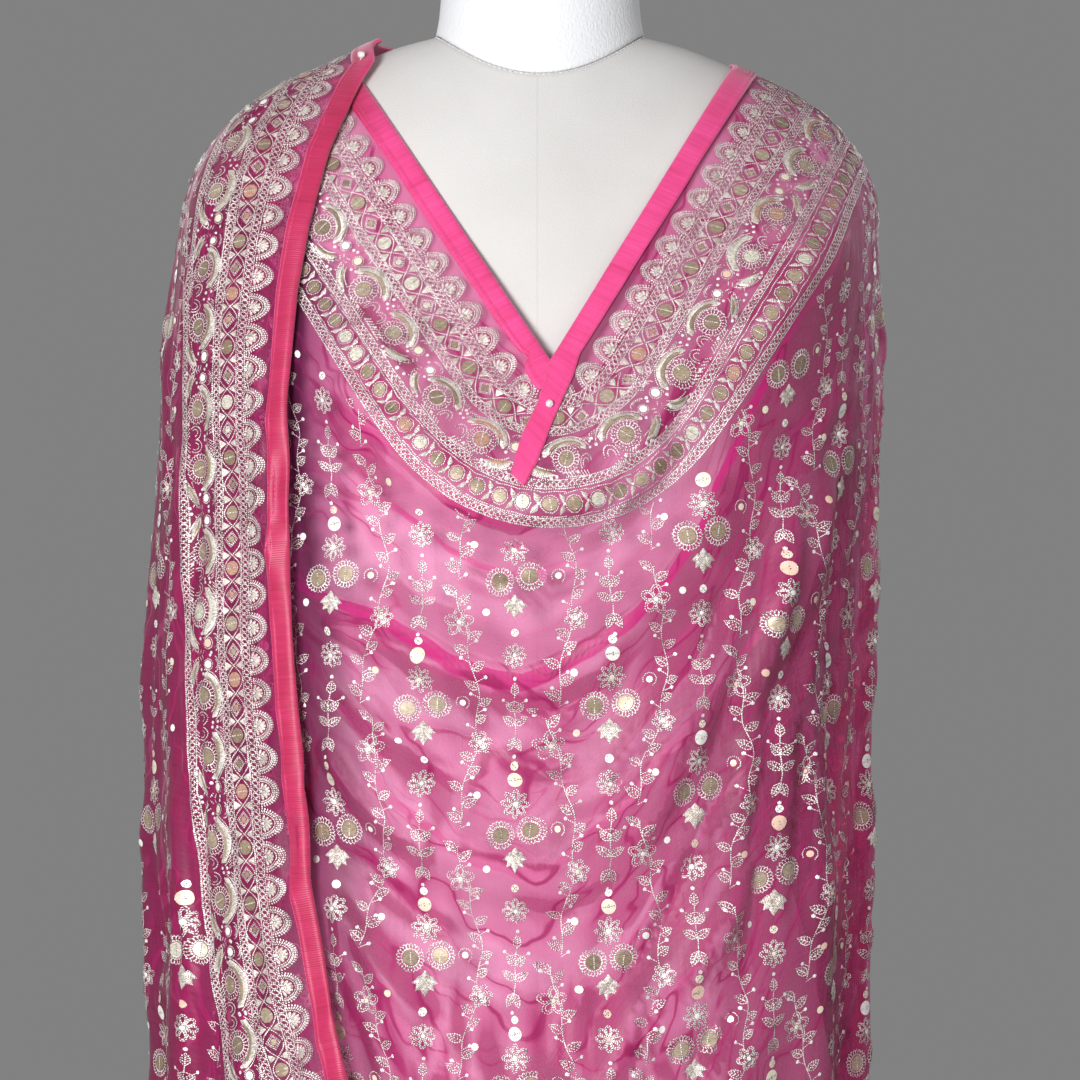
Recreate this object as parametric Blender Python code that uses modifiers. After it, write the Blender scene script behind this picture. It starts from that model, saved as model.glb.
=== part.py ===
"""An embroidered organza dupatta, draped and pinned round a limbless dress form on a stand.

Metres, +Z up. The front faces -Y and +X is the viewer's right. The origin is the centre of the
stand's underside. The cloth is one rectangle that winds once round the form: it starts under the
end stretch at the viewer's left, crosses the front with its long edge set in a V, goes over the
right shoulder and round the back, and its end hangs from the left shoulder, edge to the front.
"""

import math

import bmesh
import bpy
import numpy as np
from mathutils import Vector

WALL = 0.0012
SEAM_GAP = 0.0003
BINDING_WIDTH = 0.013
BINDING_WALL = 0.0009
BINDING_LIFT = 0.0005
TAIL_LIFT = 0.0012
MM = 0.001

BASE_RADIUS = 0.19
BASE_THICK = 0.014
BASE_EDGE = 0.004
POLE_RADIUS = 0.014
COLLAR_RADIUS = 0.032
COLLAR_HEIGHT = 0.03
NECK_TOP = 1.548

# Level sections of the form, in mm. A tilted section has its own heights at side, front and back.
FORM_COLUMNS = ("half_width", "front", "back", "z_side", "z_front", "z_back", "square")
FORM_SECTIONS = {
    "neck_seam": (59, 56, 58, 1459, 1432, 1468, 2.0),
    "neck_slope": (84, 67, 69, 1452, 1413, 1453, 2.05),
    "collar_bone": (113, 79, 81, 1440, 1389, 1429, 2.1),
    "mid_shoulder": (145, 90, 91, 1424, 1362, 1400, 2.2),
    "outer_shoulder": (169, 99, 99, 1402, 1334, 1370, 2.3),
    "shoulder_tip": (182, 108, 105, 1374, 1305, 1340, 2.35),
    "armhole": (183, 117, 108, 1338, 1274, 1308, 2.4),
    "chest": (176, 126, 108, 1282, 1240, 1262, 2.35),
    "bust": (167, 133, 100, 1197, 1197, 1197, 2.3),
    "under_bust": (145, 112, 88, 1120, 1120, 1120, 2.2),
    "waist": (125, 95, 80, 1045, 1045, 1045, 2.2),
    "high_hip": (150, 100, 100, 950, 950, 950, 2.25),
    "hip": (168, 106, 118, 850, 850, 850, 2.3),
    "form_hem": (163, 101, 112, 755, 755, 755, 2.3),
}

# Sections of the draped cloth's inner face, in mm. panel_out and panel_up are how much further
# out and up the free end lies, which hangs over the start of the same cloth.
CLOTH_COLUMNS = (
    "half_width", "front", "back", "z_side", "z_front", "z_back", "square", "panel_out",
    "panel_up",
)
CLOTH_SECTIONS = {
    "neck_seam": (60, 58, 60, 1460, 1433, 1469, 2.0, 2, 5),
    "neck_slope": (85, 69, 71, 1453, 1414, 1454, 2.05, 2, 5),
    "collar_bone": (113.4, 80.2, 81.8, 1440.6, 1390, 1429.6, 2.1, 2, 5),
    "mid_shoulder": (145.8, 91.2, 91.8, 1424.7, 1363, 1400.6, 2.2, 3, 5),
    "outer_shoulder": (171, 101, 100.6, 1403, 1336, 1371, 2.3, 6, 4),
    "shoulder_tip": (187, 113, 109, 1375, 1308, 1341, 2.35, 9, 2),
    "armhole": (190, 124, 113, 1338, 1277, 1309, 2.4, 14, 0),
    "chest": (191, 135, 116, 1282, 1242, 1263, 2.4, 20, 0),
    "bust": (187, 146, 117, 1197, 1197, 1197, 2.4, 25, 0),
    "under_bust": (184, 148, 119, 1120, 1116, 1120, 2.4, 31, 0),
    "waist": (181, 147, 123, 1030, 1020, 1030, 2.4, 34, 2),
    "high_hip": (180, 146, 130, 930, 910, 926, 2.4, 34, 5),
    "hip": (181, 147, 136, 820, 785, 812, 2.4, 33, 10),
    "knee_fall": (183, 150, 140, 680, 600, 665, 2.4, 31, 28),
    "hem": (186, 154, 144, 535, 400, 510, 2.4, 29, 52),
}
HEM_LEVEL = len(CLOTH_SECTIONS) - 1

# Where the top edge runs: straight arms from the V to the shoulders, then round behind the neck.
V_POINT = (0.006, 1.269)
RIGHT_SHOULDER = (0.1105, 1.4435)
LEFT_SHOULDER = (-0.108, 1.4435)
NAPE_HEIGHT = 1.432
CORNER_HEIGHT = 1.456
CORNER_ANGLE = -188.0
CORNER_STEP = 0.25

# The free end's edge as it hangs at the viewer's left: across and up, in mm.
END_EDGE_COLUMNS = ("across", "up")
END_EDGE = {
    "corner": (-84, 1456),
    "over_shoulder": (-99, 1428),
    "below_shoulder": (-115, 1388),
    "upper_chest": (-125, 1346),
    "chest": (-131, 1310),
    "above_bust": (-135, 1255),
    "bust": (-135, 1180),
    "under_bust": (-131, 1110),
    "waist": (-125, 1047),
    "high_hip": (-122, 993),
    "hip": (-114, 942),
    "low_hip": (-102, 892),
    "thigh": (-88, 830),
    "knee_fall": (-76, 700),
    "hem": (-70, 500),
}

# Stretches of the one cloth, by their angles round the form: 0 is the viewer's right, 90 the
# front, 180 the viewer's left and -90 the back.
START_ANGLE = 184.0
FRONT_TO_SIDE = 18.0
SIDE_TO_BACK = -40.0
BACK_TO_END = -150.0
SPREAD_FROM = -100.0
SPREAD_FULL = -172.0
HUG_FROM = -186.0
HUG_FULL = -234.0
EDGE_HUG = 0.6

# Swags across the front: each hangs from the viewer's left to the right shoulder. rise is how
# far it stands out; above and below are how far it takes to fade on each side, all in mm.
SWAGS = {
    "cowl": {
        "rise": 17, "above": 46, "below": 18,
        "path": ((-136, 1304), (-120, 1276), (-92, 1242), (-51, 1204), (-14, 1189), (24, 1199),
                 (64, 1240), (111, 1293), (150, 1336), (184, 1380)),
    },
    "second_swag": {
        "rise": 12, "above": 16, "below": 28,
        "path": ((-146, 1156), (-124, 1150), (-79, 1134), (-40, 1114), (-8, 1104), (28, 1120),
                 (58, 1148), (82, 1182), (103, 1238), (132, 1296), (168, 1360)),
    },
    "third_swag": {
        "rise": 11, "above": 18, "below": 26,
        "path": ((-144, 1138), (-124, 1116), (-103, 1083), (-74, 1042), (-38, 1010), (0, 1000),
                 (37, 1030), (70, 1077), (112, 1128), (140, 1182), (166, 1264)),
    },
    "fourth_swag": {
        "rise": 10, "above": 20, "below": 26,
        "path": ((-138, 1018), (-116, 982), (-88, 945), (-54, 904), (-24, 878), (8, 872),
                 (36, 890), (60, 924), (86, 966), (108, 1010), (128, 1060), (158, 1140)),
    },
    "fifth_swag": {
        "rise": 9, "above": 20, "below": 24,
        "path": ((-30, 742), (14, 760), (52, 798), (84, 846), (108, 896), (130, 948), (152, 1000),
                 (176, 1060)),
    },
}
SWAG_STEPS = 40

# Folds that hang: angle round the form, height where each begins, depth and half-width in mm.
HANGING_COLUMNS = ("angle", "z_top", "depth", "half_width")
HANGING_FOLDS = {
    "front_left": (91, 870, 13, 22),
    "front_middle": (74, 790, 14, 22),
    "front_right": (56, 850, 13, 22),
    "right_front": (38, 1120, 12, 22),
    "right_side": (14, 1290, 9, 18),
    "right_back": (-12, 1230, 12, 19),
    "back_outer_right": (-34, 1330, 15, 21),
    "back_right": (-53, 1250, 15, 20),
    "back_inner_right": (-71, 1330, 16, 20),
    "back_middle": (-90, 1220, 17, 21),
    "back_inner_left": (-108, 1320, 16, 20),
    "back_left": (-127, 1240, 16, 20),
    "back_outer_left": (-146, 1330, 14, 19),
    "left_back": (-166, 1210, 12, 18),
    "left_side": (-184, 1270, 9, 16),
    "left_front": (-203, 1130, 8, 17),
    "end_fold": (-220, 1000, 6, 18),
}
SWAG_TAPER = 0.2
FOLD_ONSET = 0.16
HEM_FLARE = 0.7

# The right arm's binding runs on below the V as a tail: its two edges, across and up in mm.
TAIL_LEFT = ((6, 1269), (0, 1248), (-9, 1227), (-15, 1206))
TAIL_RIGHT = ((18, 1259), (9, 1238), (1, 1217), (-8, 1200))

# Columns of the cloth's mesh up to the V, to the side, to the back and to the end stretch.
COLUMNS = (18, 16, 11, 27)
END_COLUMNS = 15
ROWS = 26
ROW_CROWDING = 1.2
SETTLED_LEVEL = 3.4
TAIL_ROWS = 8
TORSO_COLUMNS_ROUND = 40
TORSO_ROWS = 24


# Sections
def read_table(table, columns, unit):
    """Columns of a table as arrays, those in mm turned to metres."""
    rows = np.array(list(table.values()), float)
    read = dict(zip(columns, rows.T))
    for name in columns:
        if name not in ("square", "angle"):
            read[name] = read[name] * unit
    return read


FORM = read_table(FORM_SECTIONS, FORM_COLUMNS, MM)
CLOTH = read_table(CLOTH_SECTIONS, CLOTH_COLUMNS, MM)
EDGE = read_table(END_EDGE, END_EDGE_COLUMNS, MM)
HANGING = read_table(HANGING_FOLDS, HANGING_COLUMNS, MM)


def along(values, level):
    """A smooth curve through the values, one to a section, read at fractional levels."""
    level = np.clip(level, 0, len(values) - 1)
    low = np.minimum(level.astype(int), len(values) - 2)
    part = level - low
    padded = np.concatenate([[2 * values[0] - values[1]], values, [2 * values[-1] - values[-2]]])
    before, first, second, after = (padded[low + k] for k in range(4))
    return first + 0.5 * part * (
        second - before
        + part * (2 * before - 5 * first + 4 * second - after
                  + part * (3 * (first - second) + after - before))
    )


def smooth(value):
    """0 below 0, 1 above 1, and an S curve between."""
    share = np.clip(value, 0, 1)
    return share * share * (3 - 2 * share)


def section_points(angle, level, table, out=0.0, up=0.0):
    """Points of the sections at these angles in degrees and levels, moved out and up."""
    cosine, sine = np.cos(np.radians(angle)), np.sin(np.radians(angle))
    power = 2 / along(table["square"], level)
    depth = np.where(sine > 0, along(table["front"], level), along(table["back"], level)) + out
    z_mid = np.where(sine > 0, along(table["z_front"], level), along(table["z_back"], level))
    half = along(table["half_width"], level) + out
    return np.stack(
        [
            half * np.sign(cosine) * np.abs(cosine) ** power,
            -depth * np.sign(sine) * np.abs(sine) ** power,
            along(table["z_side"], level) * cosine**2 + z_mid * sine**2 + up,
        ],
        axis=-1,
    )


def drape(angle, level):
    """The cloth's inner face before its folds, spreading outwards towards the free end."""
    spread = smooth((SPREAD_FROM - angle) / (SPREAD_FROM - SPREAD_FULL))
    hug = 1 - EDGE_HUG * smooth((HUG_FROM - angle) / (HUG_FROM - HUG_FULL))
    out, up = along(CLOTH["panel_out"], level), along(CLOTH["panel_up"], level)
    return section_points(angle, level, CLOTH, out * spread * hug, up * spread)


# Edges of the cloth
def top_line(across, behind):
    """Height of the long top edge at this place across, in front of or behind the shoulders."""
    right = V_POINT[1] + (RIGHT_SHOULDER[1] - V_POINT[1]) * (across - V_POINT[0]) / (
        RIGHT_SHOULDER[0] - V_POINT[0]
    )
    left = V_POINT[1] + (LEFT_SHOULDER[1] - V_POINT[1]) * (V_POINT[0] - across) / (
        V_POINT[0] - LEFT_SHOULDER[0]
    )
    nape = NAPE_HEIGHT + np.where(
        across > 0,
        (RIGHT_SHOULDER[1] - NAPE_HEIGHT) * smooth(across / RIGHT_SHOULDER[0]),
        (CORNER_HEIGHT - NAPE_HEIGHT) * smooth(across / LEFT_SHOULDER[0] * 1.3),
    )
    return np.where(behind, nape, np.maximum(right, left))


def halve(miss, low, high, steps=40):
    """The value between low and high where miss turns from positive to negative."""
    for _ in range(steps):
        middle = (low + high) / 2
        over = miss(middle) > 0
        low, high = np.where(over, middle, low), np.where(over, high, middle)
    return (low + high) / 2


def top_level(angle):
    """Level at which the top edge crosses this angle."""

    def miss(level):
        point = drape(angle, level)
        return point[..., 2] - top_line(point[..., 0], angle < 0)

    return halve(miss, np.zeros_like(angle), np.full_like(angle, 9.0))


def end_angle(level):
    """Angle at which the free end's edge crosses this level."""

    def miss(angle):
        point = drape(angle, level)
        edge = np.interp(-point[..., 2], -EDGE["up"], EDGE["across"])
        return edge - point[..., 0]

    return halve(miss, np.full_like(level, -186.0), np.full_like(level, -262.0))


def front_place(across, up):
    """Angle and level of a place on the front, seen from the front, in metres."""
    place = np.array([90.0, 7.0])
    for _ in range(30):
        here = drape(*place)
        steps = [(drape(*(place + move)) - here)[[0, 2]] for move in ((0.01, 0), (0, 0.001))]
        turn = np.linalg.solve(np.array(steps).T, np.array([across, up]) - here[[0, 2]])
        place = place + np.clip(turn * (0.01, 0.001), (-6, -0.5), (6, 0.5))
    return place


def slopes(surface, angle, level):
    """How a surface's points move with its angle and with its level."""
    by_angle = surface(angle + 0.02, level) - surface(angle - 0.02, level)
    by_level = surface(angle, level + 0.001) - surface(angle, level - 0.001)
    return by_angle / 0.04, by_level / 0.002


def facing(surface, angle, level):
    """Unit normals of a surface, pointing away from the form."""
    by_angle, by_level = slopes(surface, angle, np.clip(level, 0.004, HEM_LEVEL - 0.004))
    normal = np.cross(by_angle, by_level)
    return normal / np.linalg.norm(normal, axis=-1, keepdims=True)


def inset(line, inwards, width):
    """A line of (angle, level) pairs moved over the cloth by a width, to the side that the pair
    inwards points to."""
    by_angle, by_level = slopes(drape, line[:, 0], line[:, 1])
    ahead = np.gradient(drape(line[:, 0], line[:, 1]), axis=0)
    ahead /= np.linalg.norm(ahead, axis=1)[:, None]
    guide = by_angle * inwards[0] + by_level * inwards[1]
    side = guide - (guide * ahead).sum(1)[:, None] * ahead
    side /= np.linalg.norm(side, axis=1)[:, None]
    moved = []
    for k, place in enumerate(line):
        axes = np.stack([by_angle[k], by_level[k]], axis=1)
        moved.append(place + np.linalg.lstsq(axes, side[k] * width, rcond=None)[0])
    return np.array(moved)


def between(top, bottom, left, right):
    """A grid of (angle, level) pairs that fits four border lines, rows running down."""
    across = np.linspace(0, 1, len(top))[None, :, None]
    down = ((left[:, 1] - left[0, 1]) / (left[-1, 1] - left[0, 1]))[:, None, None]
    return (
        (1 - down) * top[None] + down * bottom[None]
        + (1 - across) * left[:, None] + across * right[:, None]
        - (1 - down) * (1 - across) * top[0] - (1 - down) * across * top[-1]
        - down * (1 - across) * bottom[0] - down * across * bottom[-1]
    )


def pairs(angle, level):
    """Angles and levels as a line of pairs."""
    return np.stack(np.broadcast_arrays(angle, level), axis=-1).astype(float)


def rows_between(top, bottom, rows):
    """Levels of the rows below a column's top: they follow the top edge at first, then settle
    to the same heights all round."""
    down = np.linspace(0, 1, rows)[:, None] ** ROW_CROWDING
    settled = SETTLED_LEVEL + (HEM_LEVEL - SETTLED_LEVEL) * down
    levels = settled + (top - SETTLED_LEVEL) * (1 - down) ** 3
    return levels + (bottom - HEM_LEVEL) * down


def wound_grid(angle, kink, rows):
    """Grid of the wound cloth, its outer rows the bindings; kink is the column at the V."""
    edge = pairs(angle, top_level(angle))
    hem = pairs(angle, float(HEM_LEVEL))
    top, bottom = inset(edge, (0, 1), BINDING_WIDTH), inset(hem, (0, -1), BINDING_WIDTH)
    arm = drape(*edge[kink]) - drape(*edge[kink - 1])
    drop = np.linalg.norm(slopes(drape, *edge[kink])[1])
    top[kink, 1] = edge[kink, 1] + BINDING_WIDTH * np.linalg.norm(arm) / abs(arm[0]) / drop
    levels = rows_between(top[:, 1], bottom[:, 1], rows)
    middle = pairs(angle, levels)
    return np.concatenate([edge[None], middle, hem[None]])


def end_grid(left, columns):
    """Grid of the end stretch from its left column, its last column being the end binding."""
    first, rows = left[0, 0], len(left) - 2
    corner = top_level(np.array([CORNER_ANGLE]))[0]
    start = corner + CORNER_STEP
    level = start + (HEM_LEVEL - start) * np.linspace(0, 1, rows + 1) ** ROW_CROWDING
    level = np.concatenate([[corner], level])
    angle = end_angle(level)
    angle = CORNER_ANGLE + (angle - CORNER_ANGLE) * smooth((level - corner) / (2 * CORNER_STEP))
    edge = pairs(angle, level)
    end_line = inset(edge, (1, 0), BINDING_WIDTH)

    radius = -drape(CORNER_ANGLE, corner)[0]
    last = CORNER_ANGLE + math.degrees(BINDING_WIDTH / radius)
    angle = np.linspace(first, last, columns)
    reach = smooth((first - angle) / (first - last))[:, None]
    top_edge = pairs(angle, top_level(angle))
    top = inset(top_edge, (0, 1), BINDING_WIDTH)
    top[:, 0] = angle
    top += (left[1] - top[0]) * (1 - reach) + (end_line[1] - top[-1]) * reach
    hem_edge = pairs(np.linspace(first, end_line[-1, 0], columns), float(HEM_LEVEL))
    bottom = inset(hem_edge, (0, -1), BINDING_WIDTH)
    bottom[:, 0] = hem_edge[:, 0]
    bottom += (left[-2] - bottom[0]) * (1 - reach)
    end_line[-2] = bottom[-1]
    middle = between(top, bottom, left[1:-1], end_line[1:-1])
    grid = np.concatenate([top_edge[None], middle, hem_edge[None]])
    edge[-2] = (end_angle(bottom[-1:, 1])[0], bottom[-1, 1])
    return np.concatenate([grid, edge[:, None]], axis=1)


# Folds
def swag_rise(points):
    """How far the swags push the front out at these points."""
    flat = points[..., [0, 2]]
    total = np.zeros(flat.shape[:-1])
    for swag in SWAGS.values():
        path = np.array(swag["path"], float) * MM
        stops = np.linspace(0, len(path) - 1, SWAG_STEPS)
        path = np.stack([along(path[:, 0], stops), along(path[:, 1], stops)], axis=1)
        lengths = np.concatenate([[0], np.cumsum(np.hypot(*np.diff(path, axis=0).T))])
        nearest = np.full(total.shape, np.inf)
        over = np.zeros(total.shape)
        done = np.zeros(total.shape)
        for k, (start, stop) in enumerate(zip(path[:-1], path[1:])):
            step = stop - start
            share = np.clip(((flat - start) @ step) / (step @ step), 0, 1)
            gap = flat - (start + share[..., None] * step)
            far = np.hypot(gap[..., 0], gap[..., 1])
            closer = far < nearest
            nearest = np.where(closer, far, nearest)
            over = np.where(closer, gap[..., 1] * step[0] - gap[..., 0] * step[1], over)
            here = (lengths[k] + share * (lengths[k + 1] - lengths[k])) / lengths[-1]
            done = np.where(closer, here, done)
        fade = np.where(over > 0, swag["above"], swag["below"]) * MM
        ends = smooth(done / SWAG_TAPER) * smooth((1 - done) / SWAG_TAPER)
        total += swag["rise"] * MM * ends * np.exp(-((nearest / fade) ** 2))
    return total


def hanging_depth(points, angle):
    """How far the hanging folds push the cloth in or out at these points."""
    total = np.zeros(angle.shape)
    turn = np.hypot(points[..., 0], points[..., 1])
    for at, z_top, depth, half in zip(*(HANGING[name] for name in HANGING_COLUMNS)):
        apart = np.radians(angle - at) * turn
        grown = smooth((z_top - points[..., 2]) / FOLD_ONSET)
        drop = np.clip((z_top - points[..., 2]) / z_top, 0, 1)
        total += depth * grown * (1 + HEM_FLARE * drop) * (
            np.exp(-((apart / half) ** 2)) - 0.35 * np.exp(-((apart / (2.2 * half)) ** 2))
        )
    return total


def folded(angle, level):
    """The cloth's inner face, with its swags and hanging folds."""
    points = drape(angle, level)
    in_front = smooth((np.sin(np.radians(angle)) - 0.05) / 0.3) * (np.asarray(angle) > 0)
    push = swag_rise(points) * in_front + hanging_depth(points, angle)
    return points + facing(drape, angle, level) * push[..., None]


# Objects
def clear_scene():
    """An empty scene."""
    for old in list(bpy.data.objects):
        bpy.data.objects.remove(old)


def finish_of(name, colour, roughness, metallic=0.0, alpha=1.0):
    """A plain material."""
    material = bpy.data.materials.new(name)
    material.use_nodes = True
    shader = material.node_tree.nodes["Principled BSDF"]
    shader.inputs["Base Color"].default_value = (*colour, 1)
    shader.inputs["Roughness"].default_value = roughness
    shader.inputs["Metallic"].default_value = metallic
    shader.inputs["Alpha"].default_value = alpha
    return material


def object_from(name, shape, material, collection):
    """A named object made from a bmesh."""
    bmesh.ops.recalc_face_normals(shape, faces=shape.faces)
    data = bpy.data.meshes.new(name)
    shape.to_mesh(data)
    shape.free()
    data.materials.append(material)
    data.shade_smooth()
    made = bpy.data.objects.new(name, data)
    collection.objects.link(made)
    return made


def drawn_in(points, first, last):
    """A grid of points with its first or last column drawn in by half a seam."""
    points = points.copy()
    for wanted, column, inner in ((first, 0, 1), (last, -1, -2)):
        if wanted:
            step = points[:, inner] - points[:, column]
            step /= np.linalg.norm(step, axis=1)[:, None]
            points[:, column] += step * SEAM_GAP * 0.6
    return points


def sheet(name, grid, lift, wall, finish, collection, first=True, last=True):
    """A wall of even thickness on a grid of (angle, level) pairs, lifted off the inner face."""
    angle, level = grid[..., 0], grid[..., 1]
    points = folded(angle, level)
    normal = facing(folded, angle, level)
    inner = drawn_in(points + normal * lift, first, last).reshape(-1, 3)
    outer = drawn_in(points + normal * (lift + wall), first, last).reshape(-1, 3)
    shape = bmesh.new()
    place = shape.verts.layers.int.new("place")
    bmesh.ops.create_grid(
        shape, x_segments=grid.shape[1] - 1, y_segments=grid.shape[0] - 1, size=1
    )
    shape.verts.ensure_lookup_table()
    for k, vertex in enumerate(shape.verts):
        vertex.co = inner[k]
        vertex[place] = k
    made = bmesh.ops.extrude_face_region(shape, geom=shape.faces[:], use_keep_orig=True)
    for vertex in made["geom"]:
        if isinstance(vertex, bmesh.types.BMVert):
            vertex.co = outer[vertex[place]]
    return object_from(name, shape, finish, collection)


def make_torso(collection, material):
    """The form's torso, lofted through its sections and closed at the neck and below."""
    angle = np.linspace(0, 360, TORSO_COLUMNS_ROUND, endpoint=False)
    last = len(FORM_SECTIONS) - 1
    levels = np.linspace(0, last, TORSO_ROWS)
    shape = bmesh.new()
    rings = []
    for level in levels:
        points = section_points(angle, np.full_like(angle, level), FORM)
        rings.append([shape.verts.new(point) for point in points])
    for upper, lower in zip(rings[:-1], rings[1:]):
        for k in range(TORSO_COLUMNS_ROUND):
            after = (k + 1) % TORSO_COLUMNS_ROUND
            shape.faces.new((upper[k], upper[after], lower[after], lower[k]))
    for ring, inwards in ((rings[0], -0.004), (rings[-1], 0.004)):
        middle = sum((vertex.co for vertex in ring), Vector()) / len(ring)
        hub = shape.verts.new(middle + Vector((0, 0, 0 if inwards > 0 else inwards)))
        for k, vertex in enumerate(ring):
            shape.faces.new((vertex, ring[(k + 1) % len(ring)], hub))
    return object_from("torso", shape, material, collection)


def make_neck(collection, material):
    """The separate neck piece above the seam, straight-sided with a rounded plain top."""
    angle = np.linspace(0, 360, TORSO_COLUMNS_ROUND, endpoint=False)
    seam = section_points(angle, np.zeros_like(angle), FORM)
    rings = (
        (1.0, 0.0, 0.0), (0.965, 0.12, 0.0), (0.945, 0.35, 0.0), (0.93, 0.7, 0.0),
        (0.925, 1.0, -0.006), (0.86, 1.0, 0.0),
    )
    shape = bmesh.new()
    made = []
    for scale, climb, down in rings:
        points = seam * (scale, scale, 1)
        points[:, 2] = seam[:, 2] + SEAM_GAP + (NECK_TOP - seam[:, 2] - SEAM_GAP) * climb + down
        made.append([shape.verts.new(point) for point in points])
    for lower, upper in zip(made[:-1], made[1:]):
        for k in range(TORSO_COLUMNS_ROUND):
            after = (k + 1) % TORSO_COLUMNS_ROUND
            shape.faces.new((lower[k], lower[after], upper[after], upper[k]))
    for ring, top in ((made[0], False), (made[-1], True)):
        middle = sum((vertex.co for vertex in ring), Vector()) / len(ring)
        hub = shape.verts.new(middle + Vector((0, 0, 0 if top else SEAM_GAP)))
        for k, vertex in enumerate(ring):
            shape.faces.new((vertex, ring[(k + 1) % len(ring)], hub))
    object_from("neck", shape, material, collection)


def turned(name, radius, bottom, top, rounding, sides, material, collection):
    """A round upright piece with softened rims."""
    bpy.ops.mesh.primitive_cylinder_add(
        vertices=sides, radius=radius, depth=top - bottom, location=(0, 0, (top + bottom) / 2)
    )
    made = bpy.context.object
    made.name = made.data.name = name
    made.data.materials.append(material)
    for holder in list(made.users_collection):
        holder.objects.unlink(made)
    collection.objects.link(made)
    soften = made.modifiers.new("rim", "BEVEL")
    soften.width = rounding
    soften.segments = 2
    soften.limit_method = "ANGLE"
    return made


def make_stand(collection, metal, form_hem):
    """Base, pole and collar, each resting on the one below."""
    turned("stand_base", BASE_RADIUS, 0, BASE_THICK, BASE_EDGE, 48, metal, collection)
    collar_top = form_hem - SEAM_GAP
    collar_bottom = collar_top - COLLAR_HEIGHT
    turned("stand_pole", POLE_RADIUS, BASE_THICK + SEAM_GAP, collar_bottom - SEAM_GAP, 0.001,
           20, metal, collection)
    turned("stand_collar", COLLAR_RADIUS, collar_bottom, collar_top, 0.003, 24, metal, collection)


def main():
    """Builds the form, the stretches of the cloth and their bindings."""
    clear_scene()
    collection = bpy.data.collections.new("dupatta_on_dress_form")
    bpy.context.scene.collection.children.link(collection)
    jersey = finish_of("form_jersey", (0.80, 0.79, 0.77), 0.85)
    felt = finish_of("neck_felt", (0.83, 0.84, 0.86), 0.9)
    metal = finish_of("stand_metal", (0.55, 0.55, 0.57), 0.35, 0.9)
    organza = finish_of("organza", (0.70, 0.12, 0.38), 0.5, 0.0, 0.75)
    satin = finish_of("binding_satin", (0.85, 0.10, 0.30), 0.35)

    make_torso(collection, jersey)
    make_neck(collection, felt)
    make_stand(collection, metal, FORM["z_side"][-1])

    v_angle = front_place(*V_POINT)[0]
    corners = (START_ANGLE, v_angle, FRONT_TO_SIDE, SIDE_TO_BACK, BACK_TO_END)
    pieces = [np.linspace(*span) for span in zip(corners[:-1], corners[1:], COLUMNS)]
    cuts = np.cumsum([0] + [count - 1 for count in COLUMNS])
    angle = np.concatenate([pieces[0]] + [piece[1:] for piece in pieces[1:]])
    wound = wound_grid(angle, cuts[1], ROWS)
    stretches = {
        "front": wound[:, : cuts[2] + 1],
        "side": wound[:, cuts[2]: cuts[3] + 1],
        "back": wound[:, cuts[3]:],
        "end": end_grid(wound[:, -1], END_COLUMNS),
    }
    lift = WALL + BINDING_LIFT
    for name, grid in stretches.items():
        free_start, free_end = name == "front", name == "end"
        sheet(f"{name}_stretch", grid, 0, WALL, organza, collection, not free_start, not free_end)
        kept = grid[:, : grid.shape[1] - free_end]
        sheet(f"{name}_hem_binding", kept[-2:], lift, BINDING_WALL, satin, collection,
              not free_start)
        if name != "front":
            sheet(f"{name}_top_binding", kept[:2], lift, BINDING_WALL, satin, collection)
    arms = stretches["front"][:2]
    sheet("left_v_binding", arms[:, : cuts[1] + 1], lift, BINDING_WALL, satin, collection, False)
    sheet("right_v_binding", arms[:, cuts[1]:], lift, BINDING_WALL, satin, collection)
    stops = np.linspace(0, len(TAIL_LEFT) - 1, TAIL_ROWS)
    left, right = (np.array(line, float).T * MM for line in (TAIL_LEFT, TAIL_RIGHT))
    tail = np.array([
        [front_place(along((1 - share) * left[0] + share * right[0], stop),
                     along((1 - share) * left[1] + share * right[1], stop))
         for share in (0, 0.5, 1)]
        for stop in stops
    ])
    tail_lift = lift + BINDING_WALL + TAIL_LIFT
    sheet("tuck_tail", tail, tail_lift, BINDING_WALL, satin, collection, False, False)
    sheet("end_binding", stretches["end"][:, -2:], lift, BINDING_WALL, satin, collection,
          True, False)


main()
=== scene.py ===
"""Looks of an embroidered organza dupatta, draped and pinned round a limbless dress form.

Metres, +Z up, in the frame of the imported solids: the front faces -Y and +X is the viewer's right.
The cloth is one sheer rectangle wound once round the form. Angles go round it in degrees, with 0
at the viewer's right, 90 at the front and 180 at the viewer's left; levels count the sections of
the drape from the neck seam down. Needlework is drawn flat in millimetres and laid on the cloth.
"""

import logging
import math
from dataclasses import dataclass, field
from enum import Enum
from typing import Callable, Iterable, Optional, Sequence

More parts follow.
